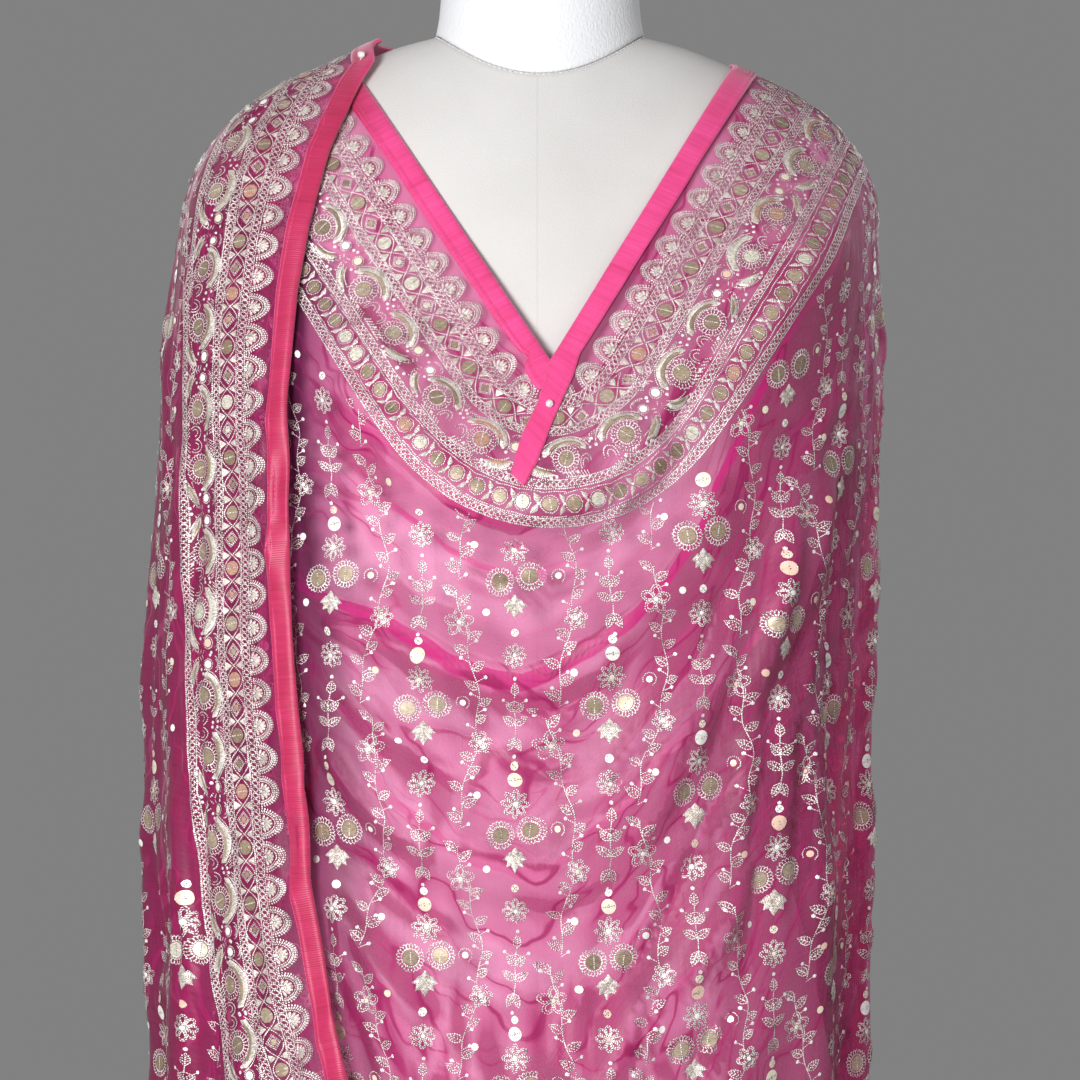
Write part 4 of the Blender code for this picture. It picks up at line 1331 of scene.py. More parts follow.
class Sewn:
    """Needlework laid on the cloth, gathered until it becomes one piece."""

    tilt = 2.2
    unevenness = 0.025

    def __init__(self, lattice: Lattice, seed: int) -> None:
        """Starts an empty gathering.

        Args:
            lattice: the cloth that it lies on.
            seed: what its small unevenness starts from.
        """
        self.lattice = lattice
        self.random = np.random.default_rng(seed)
        self.points: list[np.ndarray] = []
        self.uv: list[np.ndarray] = []
        self.faces: list[np.ndarray] = []
        self.kinds: list[np.ndarray] = []
        self.tones_and_glints: list[np.ndarray] = []
        self.count = 0

    def lay(self, motif: Stitching, spots: np.ndarray, away: np.ndarray,
            keep: Optional[Callable] = None) -> None:
        """Lays copies of a motif.

        Args:
            motif: what is sewn.
            spots: for each copy, the (angle, level) pair of each of the motif's points.
            away: for each copy, 1 where its faces look out of the cloth and -1 where they look in.
            keep: tells from (angle, level) pairs which faces stay.
        """
        if not len(spots):
            return
        flat, uv, faces, kinds = motif.joined()
        copies = len(spots)
        points, normal = self.lattice.read(spots[..., 0], spots[..., 1])
        points = points + normal * ((flat[:, 2] * MM + SHELL_LIFT)[None, :, None])
        shift = (np.arange(copies) * len(flat))[:, None, None]
        each = np.where(away[:, None, None] > 0, faces[None], faces[None, :, ::-1])
        each = np.where(each < 0, -1, each + shift + self.count).reshape(-1, 4)
        kinds = np.tile(kinds, copies)
        if keep is not None:
            first = np.tile(faces[:, 0], (copies, 1))
            places = np.take_along_axis(spots, first[..., None], axis=1).reshape(-1, 2)
            stay = keep(places)
            each, kinds = each[stay], kinds[stay]
        self.points.append(points.reshape(-1, 3))
        self.uv.append(np.tile(uv, (copies, 1)))
        self.faces.append(each)
        self.kinds.append(kinds)
        self.tones_and_glints.append(np.repeat(self.random.random(copies), len(flat)))
        self.count += copies * len(flat)

    def turns(self, count: int) -> np.ndarray:
        """Small uneven turns and sizes for a number of copies, as matrices."""
        tilt = np.radians(self.random.normal(0, self.tilt, count))
        size = 1 + self.random.normal(0, self.unevenness, count)
        cosine, sine = np.cos(tilt) * size, np.sin(tilt) * size
        return np.stack([np.stack([cosine, -sine], -1), np.stack([sine, cosine], -1)], -2)

    def piece(self, name: str) -> bpy.types.Object:
        """Makes the piece of everything laid so far."""
        points, faces = np.concatenate(self.points), np.concatenate(self.faces)
        used = np.zeros(len(points), bool)
        used[faces[faces >= 0]] = True
        fresh = np.cumsum(used) - 1
        corners = fresh[faces[faces >= 0]]
        sides = (faces >= 0).sum(1)
        data = bpy.data.meshes.new(name)
        data.vertices.add(int(used.sum()))
        data.vertices.foreach_set("co", points[used].astype(np.float32).ravel())
        data.loops.add(len(corners))
        data.loops.foreach_set("vertex_index", corners.astype(np.int32))
        data.polygons.add(len(faces))
        starts = np.concatenate([[0], np.cumsum(sides)[:-1]])
        data.polygons.foreach_set("loop_start", starts.astype(np.int32))
        data.polygons.foreach_set("material_index", np.concatenate(self.kinds).astype(np.int32))
        data.update(calc_edges=True)
        layer = data.uv_layers.new(name="flat")
        uv = np.concatenate(self.uv)[used][corners]
        layer.data.foreach_set("uv", uv.astype(np.float32).ravel())
        # Random per copy: picks each foil piece's own colour or its painted glint.
        tone = data.attributes.new("tone", "FLOAT", "POINT")
        tone.data.foreach_set("value", np.concatenate(self.tones_and_glints)[used].astype(np.float32))
        data.validate()
        data.shade_smooth()
        return object_of(name, data)


class Side(Enum):
    """The edges that a border follows; the value is the way in, as angle and level."""

    TOP = (0, 1)
    HEM = (0, -1)
    END = (1, 0)


@dataclass(frozen=True)
class BorderRow:
    """One row of a border: how far in its middle lies and how often its motif comes, in mm."""

    depth: float
    pitch: float
    motif: Callable[[], Stitching]
    mirrored: bool = False


BORDER_ROWS = (
    BorderRow(8.8, 17.4, Motifs.scallop),
    BorderRow(18.0, 3.3, Motifs.net),
    BorderRow(26.6, 29.4, Motifs.diamonds),
    BorderRow(34.9, 3.4, Motifs.chain),
    BorderRow(48.6, 38.5, Motifs.crescent, True),
    BorderRow(62.4, 3.4, Motifs.chain),
    BorderRow(71.6, 13.0, Motifs.leaves_and_disc),
    BorderRow(80.6, 3.4, Motifs.chain),
)
END_ROWS = BORDER_ROWS[:6]


class Edges:
    """Lines that follow the cloth's edges at any depth."""

    # Depth between the lines that are kept, in mm, and the spacing of their points, in metres.
    step = 2.0
    spacing = 0.0025

    def __init__(self, drape: Drape) -> None:
        """Works out each edge and the lines inside it.

        Args:
            drape: the lie of the cloth.
        """
        self.drape = drape
        self.v_angle = drape.front_place(*V_POINT)[0]
        angle = np.concatenate([np.linspace(START_ANGLE, self.v_angle, 240),
                                np.linspace(self.v_angle, CORNER_ANGLE, 700)[1:]])
        top = pairs(angle, drape.top_level(angle))
        end = drape.end_line(np.linspace(0, 1, 500))
        hem = pairs(np.linspace(START_ANGLE, end[-1, 0], 700), HEM_LEVEL - 0.02)
        self.lines = {side: self.nested(edge, side, BINDING + BORDER_END + 6)
                      for side, edge in ((Side.TOP, top), (Side.HEM, hem), (Side.END, end))}

    def nested(self, edge: np.ndarray, side: Side, reach: float) -> list[np.ndarray]:
        """Lines at each step of depth in from an edge."""
        lines = [spaced(edge, self.drape.plain(edge[:, 0], edge[:, 1]), self.spacing)]
        for _ in range(int(reach / self.step)):
            line = self.drape.inset(lines[-1], side.value, self.step * MM)
            line[1:-1] = (line[:-2] + 2 * line[1:-1] + line[2:]) / 4
            lines.append(spaced(line, self.drape.plain(line[:, 0], line[:, 1]), self.spacing))
        return lines

    def line(self, side: Side, depth: float) -> np.ndarray:
        """The line at a depth in mm, moved on from the nearest one kept."""
        kept = min(int(depth / self.step), len(self.lines[side]) - 1)
        rest = depth - kept * self.step
        line = self.lines[side][kept]
        return self.drape.inset(line, side.value, rest * MM) if rest > 0.05 else line

    def within(self, side: Side, depth: float, places: np.ndarray) -> np.ndarray:
        """Which (angle, level) pairs lie further in than a depth in mm."""
        line = self.line(side, depth)
        if side is Side.END:
            order = np.argsort(line[:, 1])
            return places[:, 0] > np.interp(places[:, 1], line[order, 1], line[order, 0])
        order = np.argsort(line[:, 0])
        limit = np.interp(places[:, 0], line[order, 0], line[order, 1])
        return places[:, 1] > limit if side is Side.TOP else places[:, 1] < limit


@dataclass
class Embroidery:
    """The borders along three edges and the motifs strewn over the field."""

    lattice: Lattice
    edges: Edges
    materials: list[bpy.types.Material]

    def border(self, side: Side, seed: int) -> bpy.types.Object:
        """Sews the border along one edge.

        Args:
            side: the edge.
            seed: what its unevenness starts from.
        Returns:
            The piece.
        """
        sewn = Sewn(self.lattice, seed)
        for row in END_ROWS if side is Side.END else BORDER_ROWS:
            self.row(sewn, side, row)
        name = f"{side.name.lower()}_border_embroidery"
        return dress(sewn.piece(name), self.materials, "organza")

    def row(self, sewn: Sewn, side: Side, row: BorderRow) -> None:
        """Lays one row of a border.

        Args:
            sewn: what it is added to.
            side: the edge that it follows.
            row: its place and motif.
        """
        line = self.edges.line(side, BINDING + row.depth)
        points = self.lattice.gathered(self.lattice.soft, line[:, 0], line[:, 1])
        run = lengths_of(points)
        count = int(run[-1] / (row.pitch * MM))
        stops = (np.arange(count) + 0.5) * run[-1] / count
        places = read_at(stops, run, line)
        reach = row.pitch * MM * 0.35
        ahead, behind = (read_at(stops + sign * reach, run, points) for sign in (1, -1))
        ahead = unit(ahead - behind)
        by_angle, by_level = self.lattice.axes(places[:, 0], places[:, 1])
        out = unit(np.cross(by_angle, by_level))
        ahead = unit(ahead - (ahead * out).sum(1)[:, None] * out)
        inwards = by_angle * side.value[0] + by_level * side.value[1]
        inwards = unit(inwards - (inwards * ahead).sum(1)[:, None] * ahead)
        if row.mirrored:
            ahead = ahead * np.where(np.arange(count) % 2, 1, -1)[:, None]
        motif = row.motif()
        flat = motif.joined()[0]
        frames = np.stack([ahead, inwards], axis=-1) @ sewn.turns(count)
        turn = np.linalg.pinv(np.stack([by_angle, by_level], axis=-1)) @ frames * MM
        stay = self.inside(side, row.depth, places)
        spots = places[:, None] + np.einsum("kij,nj->kni", turn, flat[:, :2])
        away = np.sign((np.cross(ahead, inwards) * out).sum(1))
        sewn.lay(motif, spots[stay], away[stay])

    def inside(self, side: Side, depth: float, places: np.ndarray) -> np.ndarray:
        """Which places of a row lie clear of the neighbouring borders."""
        others = (Side.TOP, Side.HEM) if side is Side.END else (Side.END,)
        stay = np.ones(len(places), bool)
        for other in others:
            reach = depth if side is Side.END else min(depth, END_BORDER_END)
            near = places[:, 0] < BACK_TO_END
            stay &= self.edges.within(other, BINDING + reach - 2, places) | ~near
        return stay

    def field_keep(self, margin: float) -> Callable[[np.ndarray], np.ndarray]:
        """A test for places of the field that are a margin in mm clear of every border."""
        def keep(places: np.ndarray) -> np.ndarray:
            """Whether each place is in the field."""
            reach = BINDING + BORDER_END + min(margin, 5)
            end = self.edges.within(Side.END, BINDING + END_BORDER_END + 4 + margin, places)
            return (self.edges.within(Side.TOP, reach, places)
                    & self.edges.within(Side.HEM, reach, places)
                    & (end | (places[:, 0] > BACK_TO_END)) & (places[:, 0] < START_ANGLE - 1))
        return keep

    def columns(self, low: float, high: float) -> list[tuple[int, float]]:
        """Numbers and angles of the motif columns between two angles."""
        angle = np.linspace(START_ANGLE, FIELD_END + 4, 1800)
        level = np.full_like(angle, FIELD_LEVEL)
        run = lengths_of(self.lattice.gathered(self.lattice.soft, angle, level))
        start = self.lattice.drape.front_place(FIRST_COLUMN * MM, FIRST_COLUMN_HEIGHT * MM)[0]
        run = run - np.interp(-start, -angle, run)
        numbers = np.arange(int(run[0] / (COLUMN_PITCH * MM / 2)) - 1,
                            int(run[-1] / (COLUMN_PITCH * MM / 2)) + 1)
        angles = np.interp(numbers * COLUMN_PITCH * MM / 2, run, angle)
        return [(int(number), float(at)) for number, at in zip(numbers, angles)
                if low <= at < high]

    def strewn(self, name: str, low: float, high: float, seed: int) -> bpy.types.Object:
        """Sews the motifs of the field between two angles.

        Args:
            name: the piece's name.
            low: the lower angle.
            high: the upper angle.
            seed: what its unevenness starts from.
        Returns:
            The piece.
        """
        sewn = Sewn(self.lattice, seed)
        # How far down each motif comes, the motif and its radius, in mm.
        upright = (
            (0.0, Motifs.ringed_pair(), 9), (-15.5, Motifs.blossom(8, 7.8, 4.6), 8),
            (-28.5, Motifs.flat_sequin(), 4), (12.5, Motifs.leaf_cluster(), 7),
            (29.0, Motifs.cross_sequin(), 3), (42.0, Motifs.blossom(8, 7.2, 4.8, 1.2), 8),
            (74.0, Motifs.sprig(), 14), (101.0, Motifs.cross_sequin(), 3),
        )
        vine = Motifs.vine()
        for number, angle in self.columns(low, high):
            if number % 2:
                self.column(sewn, vine, angle, number - 1, 0.0, None)
                continue
            for drop, motif, radius in upright:
                self.column(sewn, motif, angle, number, drop, radius)
        return dress(sewn.piece(name), self.materials, "organza")

    def column(self, sewn: Sewn, motif: Stitching, angle: float, number: int, drop: float,
               radius: Optional[float]) -> None:
        """Lays a motif down one column.

        Args:
            sewn: what it is added to.
            motif: what is sewn.
            angle: where the column hangs.
            number: which column it is, counted in half pitches.
            drop: how far below the column's starting point it comes, in mm.
            radius: how big it is, or None where it may be cut off by a border.
        """
        lattice = self.lattice
        levels = lattice.levels
        line = lattice.drape.plain(np.full_like(levels, angle), levels)
        rise = GRAIN_RISE * max(line[len(levels) // 2, 0] - GRAIN_RISE_FROM, 0) * (angle > 0)
        start = FIRST_PAIR_HEIGHT * MM + rise
        column = lattice.gathered(lattice.runs, np.full_like(levels, angle), levels)[:, 1]
        middle = np.interp(-start, -line[:, 2], column) + drop * MM
        middles = middle + (np.arange(-6, 7) + (number // 2 % 2) / 2) * REPEAT * MM
        middles = middles[(middles > -COLUMN_MARGIN) & (middles < column[-1] + COLUMN_MARGIN)]
        if not len(middles):
            return
        starts = np.interp(middles, column, levels)
        flat = motif.joined()[0]
        points = np.einsum("kij,nj->kni", sewn.turns(len(middles)), flat[:, :2]) * MM
        spots = lattice.shifted(angle, starts, points[..., 0], points[..., 1])
        if radius is None:
            sewn.lay(motif, spots, np.ones(len(spots)), self.field_keep(2.0))
            return
        stay = self.field_keep(radius)(pairs(np.full_like(starts, angle), starts))
        sewn.lay(motif, spots[stay], np.ones(int(stay.sum())))


# Finishes
class Nodes:
    """A short way to write a material's nodes."""

    def __init__(self, tree: bpy.types.NodeTree) -> None:
        """Starts on a node tree."""
        self.tree = tree

    def add(self, kind: str, inputs: Optional[dict] = None, **settings: object) -> bpy.types.Node:
        """Adds a node.

        Args:
            kind: its type.
            inputs: values or sockets for its inputs.
            settings: its own settings.
        Returns:
            The node.
        """
        node = self.tree.nodes.new(kind)
        for name, value in settings.items():
            setattr(node, name, value)
        self.feed(node, inputs or {})
        return node

    def feed(self, node: bpy.types.Node, inputs: dict) -> None:
        """Links sockets to a node's inputs, or sets their values."""
        for name, value in inputs.items():
            if isinstance(value, bpy.types.NodeSocket):
                self.tree.links.new(value, node.inputs[name])
            else:
                node.inputs[name].default_value = value

    def maths(self, operation: str, first: object, second: object = 0.0) -> bpy.types.NodeSocket:
        """Joins two values with a sum of some kind."""
        return self.add("ShaderNodeMath", {0: first, 1: second}, operation=operation).outputs[0]

    def plus(self, first: object, second: object) -> bpy.types.NodeSocket:
        """The sum of two values."""
        return self.maths("ADD", first, second)

    def times(self, first: object, second: object) -> bpy.types.NodeSocket:
        """The product of two values."""
        return self.maths("MULTIPLY", first, second)

    def larger(self, first: object, second: object) -> bpy.types.NodeSocket:
        """The larger of two values."""
        return self.maths("MAXIMUM", first, second)

    def mixed(self, share: object, first: object, second: object) -> bpy.types.NodeSocket:
        """A blend of two colours."""
        ends = [value if isinstance(value, bpy.types.NodeSocket) else (*value, 1)
                for value in (first, second)]
        node = self.add("ShaderNodeMix", {0: share, 6: ends[0], 7: ends[1]}, data_type="RGBA")
        return node.outputs[2]

    def tinted(self, colour: object, tint: object) -> bpy.types.NodeSocket:
        """A colour dimmed by another."""
        return self.add("ShaderNodeVectorMath", {0: colour, 1: tint},
                        operation="MULTIPLY").outputs[0]

    def place(self) -> bpy.types.NodeSocket:
        """Object coordinates."""
        return self.add("ShaderNodeTexCoord").outputs["Object"]

    def flat(self) -> bpy.types.NodeSocket:
        """The piece's own flat places."""
        return self.add("ShaderNodeUVMap", uv_map="flat").outputs[0]

    def attribute(self, name: str, output: str = "Vector") -> bpy.types.NodeSocket:
        """Values kept on the piece under a name."""
        return self.add("ShaderNodeAttribute", attribute_name=name).outputs[output]

    def split(self, value: object) -> Sequence[bpy.types.NodeSocket]:
        """The parts of a place."""
        return self.add("ShaderNodeSeparateXYZ", {0: value}).outputs

    def noise(self, where: object, scale: float, detail: float = 2.0,
              distortion: float = 0.0) -> bpy.types.NodeSocket:
        """Noise at a scale."""
        return self.add("ShaderNodeTexNoise", {"Vector": where, "Scale": scale, "Detail": detail,
                                               "Distortion": distortion}).outputs["Fac"]

    def ranged(self, value: object, low: float, high: float, to_low: float = 0.0,
               to_high: float = 1.0) -> bpy.types.NodeSocket:
        """A value stretched from one range to another."""
        return self.add("ShaderNodeMapRange", {"Value": value, "From Min": low, "From Max": high,
                                               "To Min": to_low, "To Max": to_high}).outputs[0]

    def stretched(self, where: object, scale: tuple[float, float, float]) -> bpy.types.NodeSocket:
        """A place scaled by different amounts each way."""
        return self.add("ShaderNodeMapping", {"Vector": where, "Scale": scale}).outputs[0]

    def bump(self, height: object, strength: float, distance: float) -> bpy.types.NodeSocket:
        """A normal that follows a height."""
        return self.add("ShaderNodeBump", {"Height": height, "Strength": strength,
                                           "Distance": distance}).outputs[0]


def new_material(name: str) -> tuple[bpy.types.Material, Nodes, bpy.types.Node]:
    """A material with its nodes and its Principled shader."""
    material = bpy.data.materials.new(name)
    material.use_nodes = True
    return material, Nodes(material.node_tree), material.node_tree.nodes["Principled BSDF"]


def weave_group() -> bpy.types.NodeTree:
    """The shared weave: crossing threads of uneven thickness, as a height and a slub mask."""
    name = "weave"
    if name in bpy.data.node_groups:
        return bpy.data.node_groups[name]
    group = bpy.data.node_groups.new(name, "ShaderNodeTree")
    group.interface.new_socket("Place", in_out="INPUT", socket_type="NodeSocketVector")
    threads = group.interface.new_socket("Threads", in_out="INPUT", socket_type="NodeSocketFloat")
    threads.default_value = 1500
    group.interface.new_socket("Height", in_out="OUTPUT", socket_type="NodeSocketFloat")
    group.interface.new_socket("Slub", in_out="OUTPUT", socket_type="NodeSocketFloat")
    nodes = Nodes(group)
    start = nodes.add("NodeGroupInput")
    stop = nodes.add("NodeGroupOutput")
    ways = nodes.split(start.outputs["Place"])
    crossed = nodes.larger(*(nodes.maths("SINE", nodes.times(ways[k], start.outputs["Threads"]))
                             for k in (0, 1)))
    long_way = nodes.noise(nodes.stretched(start.outputs["Place"], (12, 900, 1)), 1.0, 1)
    short_way = nodes.noise(nodes.stretched(start.outputs["Place"], (900, 12, 1)), 1.0, 1)
    slub = nodes.times(nodes.plus(long_way, short_way), 0.5)
    group.links.new(crossed, stop.inputs["Height"])
    group.links.new(slub, stop.inputs["Slub"])
    return group


@dataclass(frozen=True)
class FoldBand:
    """A band of the cloth's colour, such as doubled cloth and painted shade: from and to across the
    folds and along them.
    """

    low: float
    high: float
    start: float
    stop: float
    strength: float
    wobble: float = 0.05


HOT_BANDS = (
    FoldBand(0.985, 1.10, -0.02, 0.60, 1.0),
    FoldBand(0.03, 0.12, 0.03, 0.165, 0.9),
    FoldBand(0.02, 0.09, 0.20, 0.33, 0.7),
    FoldBand(0.36, 0.42, 0.05, 0.19, 0.75),
    FoldBand(1.99, 2.06, 0.05, 0.40, 0.6),
    FoldBand(2.99, 3.05, 0.03, 0.30, 0.5),
    FoldBand(1.50, 1.55, 0.21, 0.45, 0.55),
    FoldBand(2.55, 2.60, 0.18, 0.42, 0.5),
)
# Doubled cloth; the band over the first few centimetres of the swags, by the end panel, is painted
# shadow of the panel.
DOUBLED_AND_SHADED_BANDS = (
    FoldBand(0.03, 0.40, 0.05, 0.20, 0.8),
    FoldBand(1.02, 1.75, 0.20, 0.60, 0.9, 0.1),
    FoldBand(1.02, 1.40, -0.10, 0.10, 0.6, 0.08),
    FoldBand(2.02, 2.50, 0.16, 0.60, 0.7, 0.1),
    FoldBand(-1.2, 4.9, -0.30, 0.030, 0.8, 0.02),
    FoldBand(0.25, 7.0, 0.285, 0.90, 0.75, 0.2),
    FoldBand(-1.4, -0.01, 0.02, 1.2, 0.45, 0.02),
)
GLOOM_BANDS = (
    FoldBand(-0.3, 12.0, -0.40, 0.052, 1.0, 0.1),
)
CALM_BANDS = (
    FoldBand(0.13, 0.97, 0.06, 0.30, 0.85, 0.04),
    FoldBand(1.75, 1.98, 0.08, 0.30, 0.5, 0.06),
)


@dataclass(frozen=True)
class CreaseLine:
    """One kind of crease line: how often it comes, how thin it is and on which patches."""

    seed: float
    often: float
    long_way: float
    width: float
    strength: float
    patches: tuple[float, float]


CREASE_LINES = (
    CreaseLine(1.0, 2.6, 8.0, 0.015, 1.0, (0.40, 0.52)),
    CreaseLine(7.0, 6.0, 14.0, 0.024, 0.95, (0.60, 0.44)),
)


@dataclass(frozen=True)
class ClothMasks:
    """Where the cloth is hot, doubled and in painted shade, rich, creased and in gloom, each from 0
    to 1.
    """

    hot: bpy.types.NodeSocket
    doubled_and_shaded: bpy.types.NodeSocket
    rich: bpy.types.NodeSocket
    lines: bpy.types.NodeSocket
    gloom: bpy.types.NodeSocket


@dataclass(frozen=True)
class Organza:
    """Sheer woven silk: a thin veil of lit thread over what shows through it."""

    name: str = "organza"
    thread: Colour = (0.97, 0.30, 0.56)
    # Doubled cloth, and painted shade down fold slopes, in valleys and on the side turned from the
    # light.
    double_and_shade: Colour = (0.40, 0.04, 0.15)
    hot: Colour = (0.58, 0.012, 0.19)
    # Painted shade in the creases, partly the doubled cloth of the fold.
    crease: Colour = (0.27, 0.005, 0.08)
    through: Colour = (1.0, 0.68, 0.87)
    # What shows through doubled cloth and through painted shade.
    through_double_and_shade: Colour = (0.63, 0.25, 0.39)
    through_hot: Colour = (0.72, 0.13, 0.36)
    gloom: Colour = (0.11, 0.008, 0.065)
    through_gloom: Colour = (0.33, 0.09, 0.22)
    cover: float = 0.2
    shadow: Colour = (0.93, 0.60, 0.77)
    shaded_side: tuple[float, float] = (-0.098, -0.144)
    roughness: float = 0.42

    def banded(self, nodes: Nodes, across: object, length: object,
               bands: Sequence[FoldBand]) -> bpy.types.NodeSocket:
        """A mask of some bands, with crisp edges and soft ends.

        Args:
            nodes: the material's nodes.
            across: the coordinate across the folds.
            length: the coordinate along them.
            bands: what is masked.
        Returns:
            0 outside and up to each band's strength inside.
        """
        total: object = 0.0
        place = nodes.add("ShaderNodeCombineXYZ", {"X": length, "Y": nodes.times(across, 0.03)})
        wave = nodes.ranged(nodes.noise(place.outputs[0], 18.0, 2.0), 0.3, 0.7, -1, 1)
        for band in bands:
            here = nodes.plus(across, nodes.times(wave, band.wobble))
            inside = nodes.times(nodes.ranged(here, band.low, band.low + 0.012),
                                 nodes.ranged(here, band.high, band.high - 0.02))
            ends = nodes.times(nodes.ranged(length, band.start, band.start + 0.03),
                               nodes.ranged(length, band.stop, band.stop - 0.04))
            mask = nodes.times(nodes.times(inside, ends), band.strength)
            total = nodes.larger(total, mask)
        return total

    def creased(self, nodes: Nodes, across: object, length: object,
                place: object) -> tuple[bpy.types.NodeSocket, bpy.types.NodeSocket]:
        """Thin crease lines with soft halos, running along the folds: painted shade in the creases,
        partly the doubled cloth of the fold.

        Args:
            nodes: the material's nodes.
            across: the coordinate across the folds.
            length: the coordinate along them.
            place: object coordinates.
        Returns:
            The lines' mask and the halos' mask.
        """
        lines: object = 0.0
        halos: object = 0.0
        drift = nodes.ranged(nodes.noise(place, 24.0, 2.0), 0.2, 0.8, -0.12, 0.12)
        patches = nodes.noise(place, 16.0, 1.0)
        bent = nodes.plus(across, drift)
        for line in CREASE_LINES:
            spot = nodes.add("ShaderNodeCombineXYZ", {
                "X": nodes.times(bent, line.often), "Y": nodes.times(length, line.long_way),
                "Z": line.seed})
            wave = nodes.noise(spot.outputs[0], 1.0, 1.0)
            off = nodes.maths("ABSOLUTE", nodes.maths("SUBTRACT", wave, 0.5))
            where = nodes.ranged(patches, *line.patches)
            core = nodes.times(nodes.ranged(off, line.width, line.width * 0.3), where)
            halo = nodes.times(nodes.ranged(off, line.width * 5, 0.0), where)
            lines = nodes.larger(lines, nodes.times(core, line.strength))
            halos = nodes.larger(halos, nodes.times(halo, line.strength))
        return lines, halos

    def masks(self, nodes: Nodes) -> ClothMasks:
        """Works out where the cloth lies doubled, where it is creased, and where shade is painted:
        down the slopes of its folds, in their valleys and on the side turned from the light.

        Args:
            nodes: the material's nodes.
        Returns:
            The masks.
        """
        place = nodes.place()
        across, length = nodes.split(nodes.attribute("folds"))[:2]
        slope, push = nodes.split(nodes.attribute("relief"))[:2]
        hot, double_and_shade, calm, gloom = (self.banded(nodes, across, length, bands) for bands in (
            HOT_BANDS, DOUBLED_AND_SHADED_BANDS, CALM_BANDS, GLOOM_BANDS))
        lively = nodes.maths("SUBTRACT", 1.0, calm)
        lines, halos = (nodes.times(mask, lively)
                        for mask in self.creased(nodes, across, length, place))
        shaded = nodes.ranged(nodes.split(place)[0], *self.shaded_side)
        # Painted shade: darker where the folds slope away and in their valleys.
        steep = nodes.ranged(slope, 0.006, 0.10)
        sunk = nodes.ranged(push, 0.05, -0.32)
        cloud = nodes.ranged(nodes.noise(place, 11.0, 2.0), 0.44, 0.62)
        # Doubled cloth, a random cloudy tone and painted shade together, then the painted shade of
        # the side turned from the light.
        doubled_and_shaded = double_and_shade
        for mask, share in ((cloud, 0.3), (steep, 0.9), (sunk, 0.6)):
            doubled_and_shaded = nodes.larger(doubled_and_shaded, nodes.times(mask, share))
        doubled_and_shaded = nodes.times(doubled_and_shaded, nodes.maths("SUBTRACT", 1.0, nodes.times(calm, 0.6)))
        doubled_and_shaded = nodes.larger(doubled_and_shaded, shaded)
        # Hot pleats of doubled cloth, and the soft painted shade round the crease lines.
        rich = nodes.larger(nodes.times(hot, nodes.ranged(cloud, 0.0, 1.0, 0.95, 0.6)),
                            nodes.times(halos, 0.46))
        return ClothMasks(hot, doubled_and_shaded, rich, lines, nodes.times(gloom, 0.9))

    def material(self) -> bpy.types.Material:
        """Makes the finish."""
        material, nodes, shader = new_material(self.name)
        weave = nodes.add("ShaderNodeGroup", {"Place": nodes.flat()}, node_tree=weave_group())
        masks = self.masks(nodes)
        # Base colour: doubled cloth and painted shade, hot pleats with painted crease halos,
        # painted crease lines and the painted shadow by the end panel.
        colour = nodes.mixed(masks.doubled_and_shaded, self.thread, self.double_and_shade)
        colour = nodes.mixed(masks.rich, colour, self.hot)
        colour = nodes.mixed(nodes.times(masks.lines, 0.85), colour, self.crease)
        colour = nodes.mixed(masks.gloom, colour, self.gloom)
        nodes.feed(shader, {
            "Base Color": colour, "Roughness": self.roughness, "Specular IOR Level": 0.35,
            "Sheen Weight": 0.25, "Sheen Roughness": 0.4,
            "Normal": nodes.bump(weave.outputs["Height"], 0.12, 0.0002)})
        # The see-through tint is dimmed by the same doubled cloth and painted shade.
        tint = nodes.mixed(masks.doubled_and_shaded, self.through, self.through_double_and_shade)
        tint = nodes.mixed(nodes.larger(masks.rich, nodes.times(masks.lines, 0.9)),
                           tint, self.through_hot)
        tint = nodes.mixed(masks.gloom, tint, self.through_gloom)
        clear = nodes.add("ShaderNodeBsdfTransparent", {"Color": tint})
        slub = nodes.ranged(weave.outputs["Slub"], 0.35, 0.65, -0.04, 0.04)
        share = nodes.plus(slub, self.cover)
        # Doubled cloth, painted shade, hot pleats and crease lines make the veil thicker.
        for mask, more in ((masks.doubled_and_shaded, 0.18), (masks.hot, 0.34), (masks.lines, 0.5)):
            share = nodes.plus(share, nodes.times(mask, more))
        mix = nodes.add("ShaderNodeMixShader", {0: share, 1: clear.outputs[0],
                                                2: shader.outputs[0]})
        shade = nodes.add("ShaderNodeBsdfTransparent", {"Color": (*self.shadow, 1)})
        lamp = nodes.add("ShaderNodeLightPath").outputs["Is Shadow Ray"]
        last = nodes.add("ShaderNodeMixShader", {0: lamp, 1: mix.outputs[0],
                                                 2: shade.outputs[0]})
        nodes.feed(nodes.tree.nodes["Material Output"], {"Surface": last.outputs[0]})
        return material


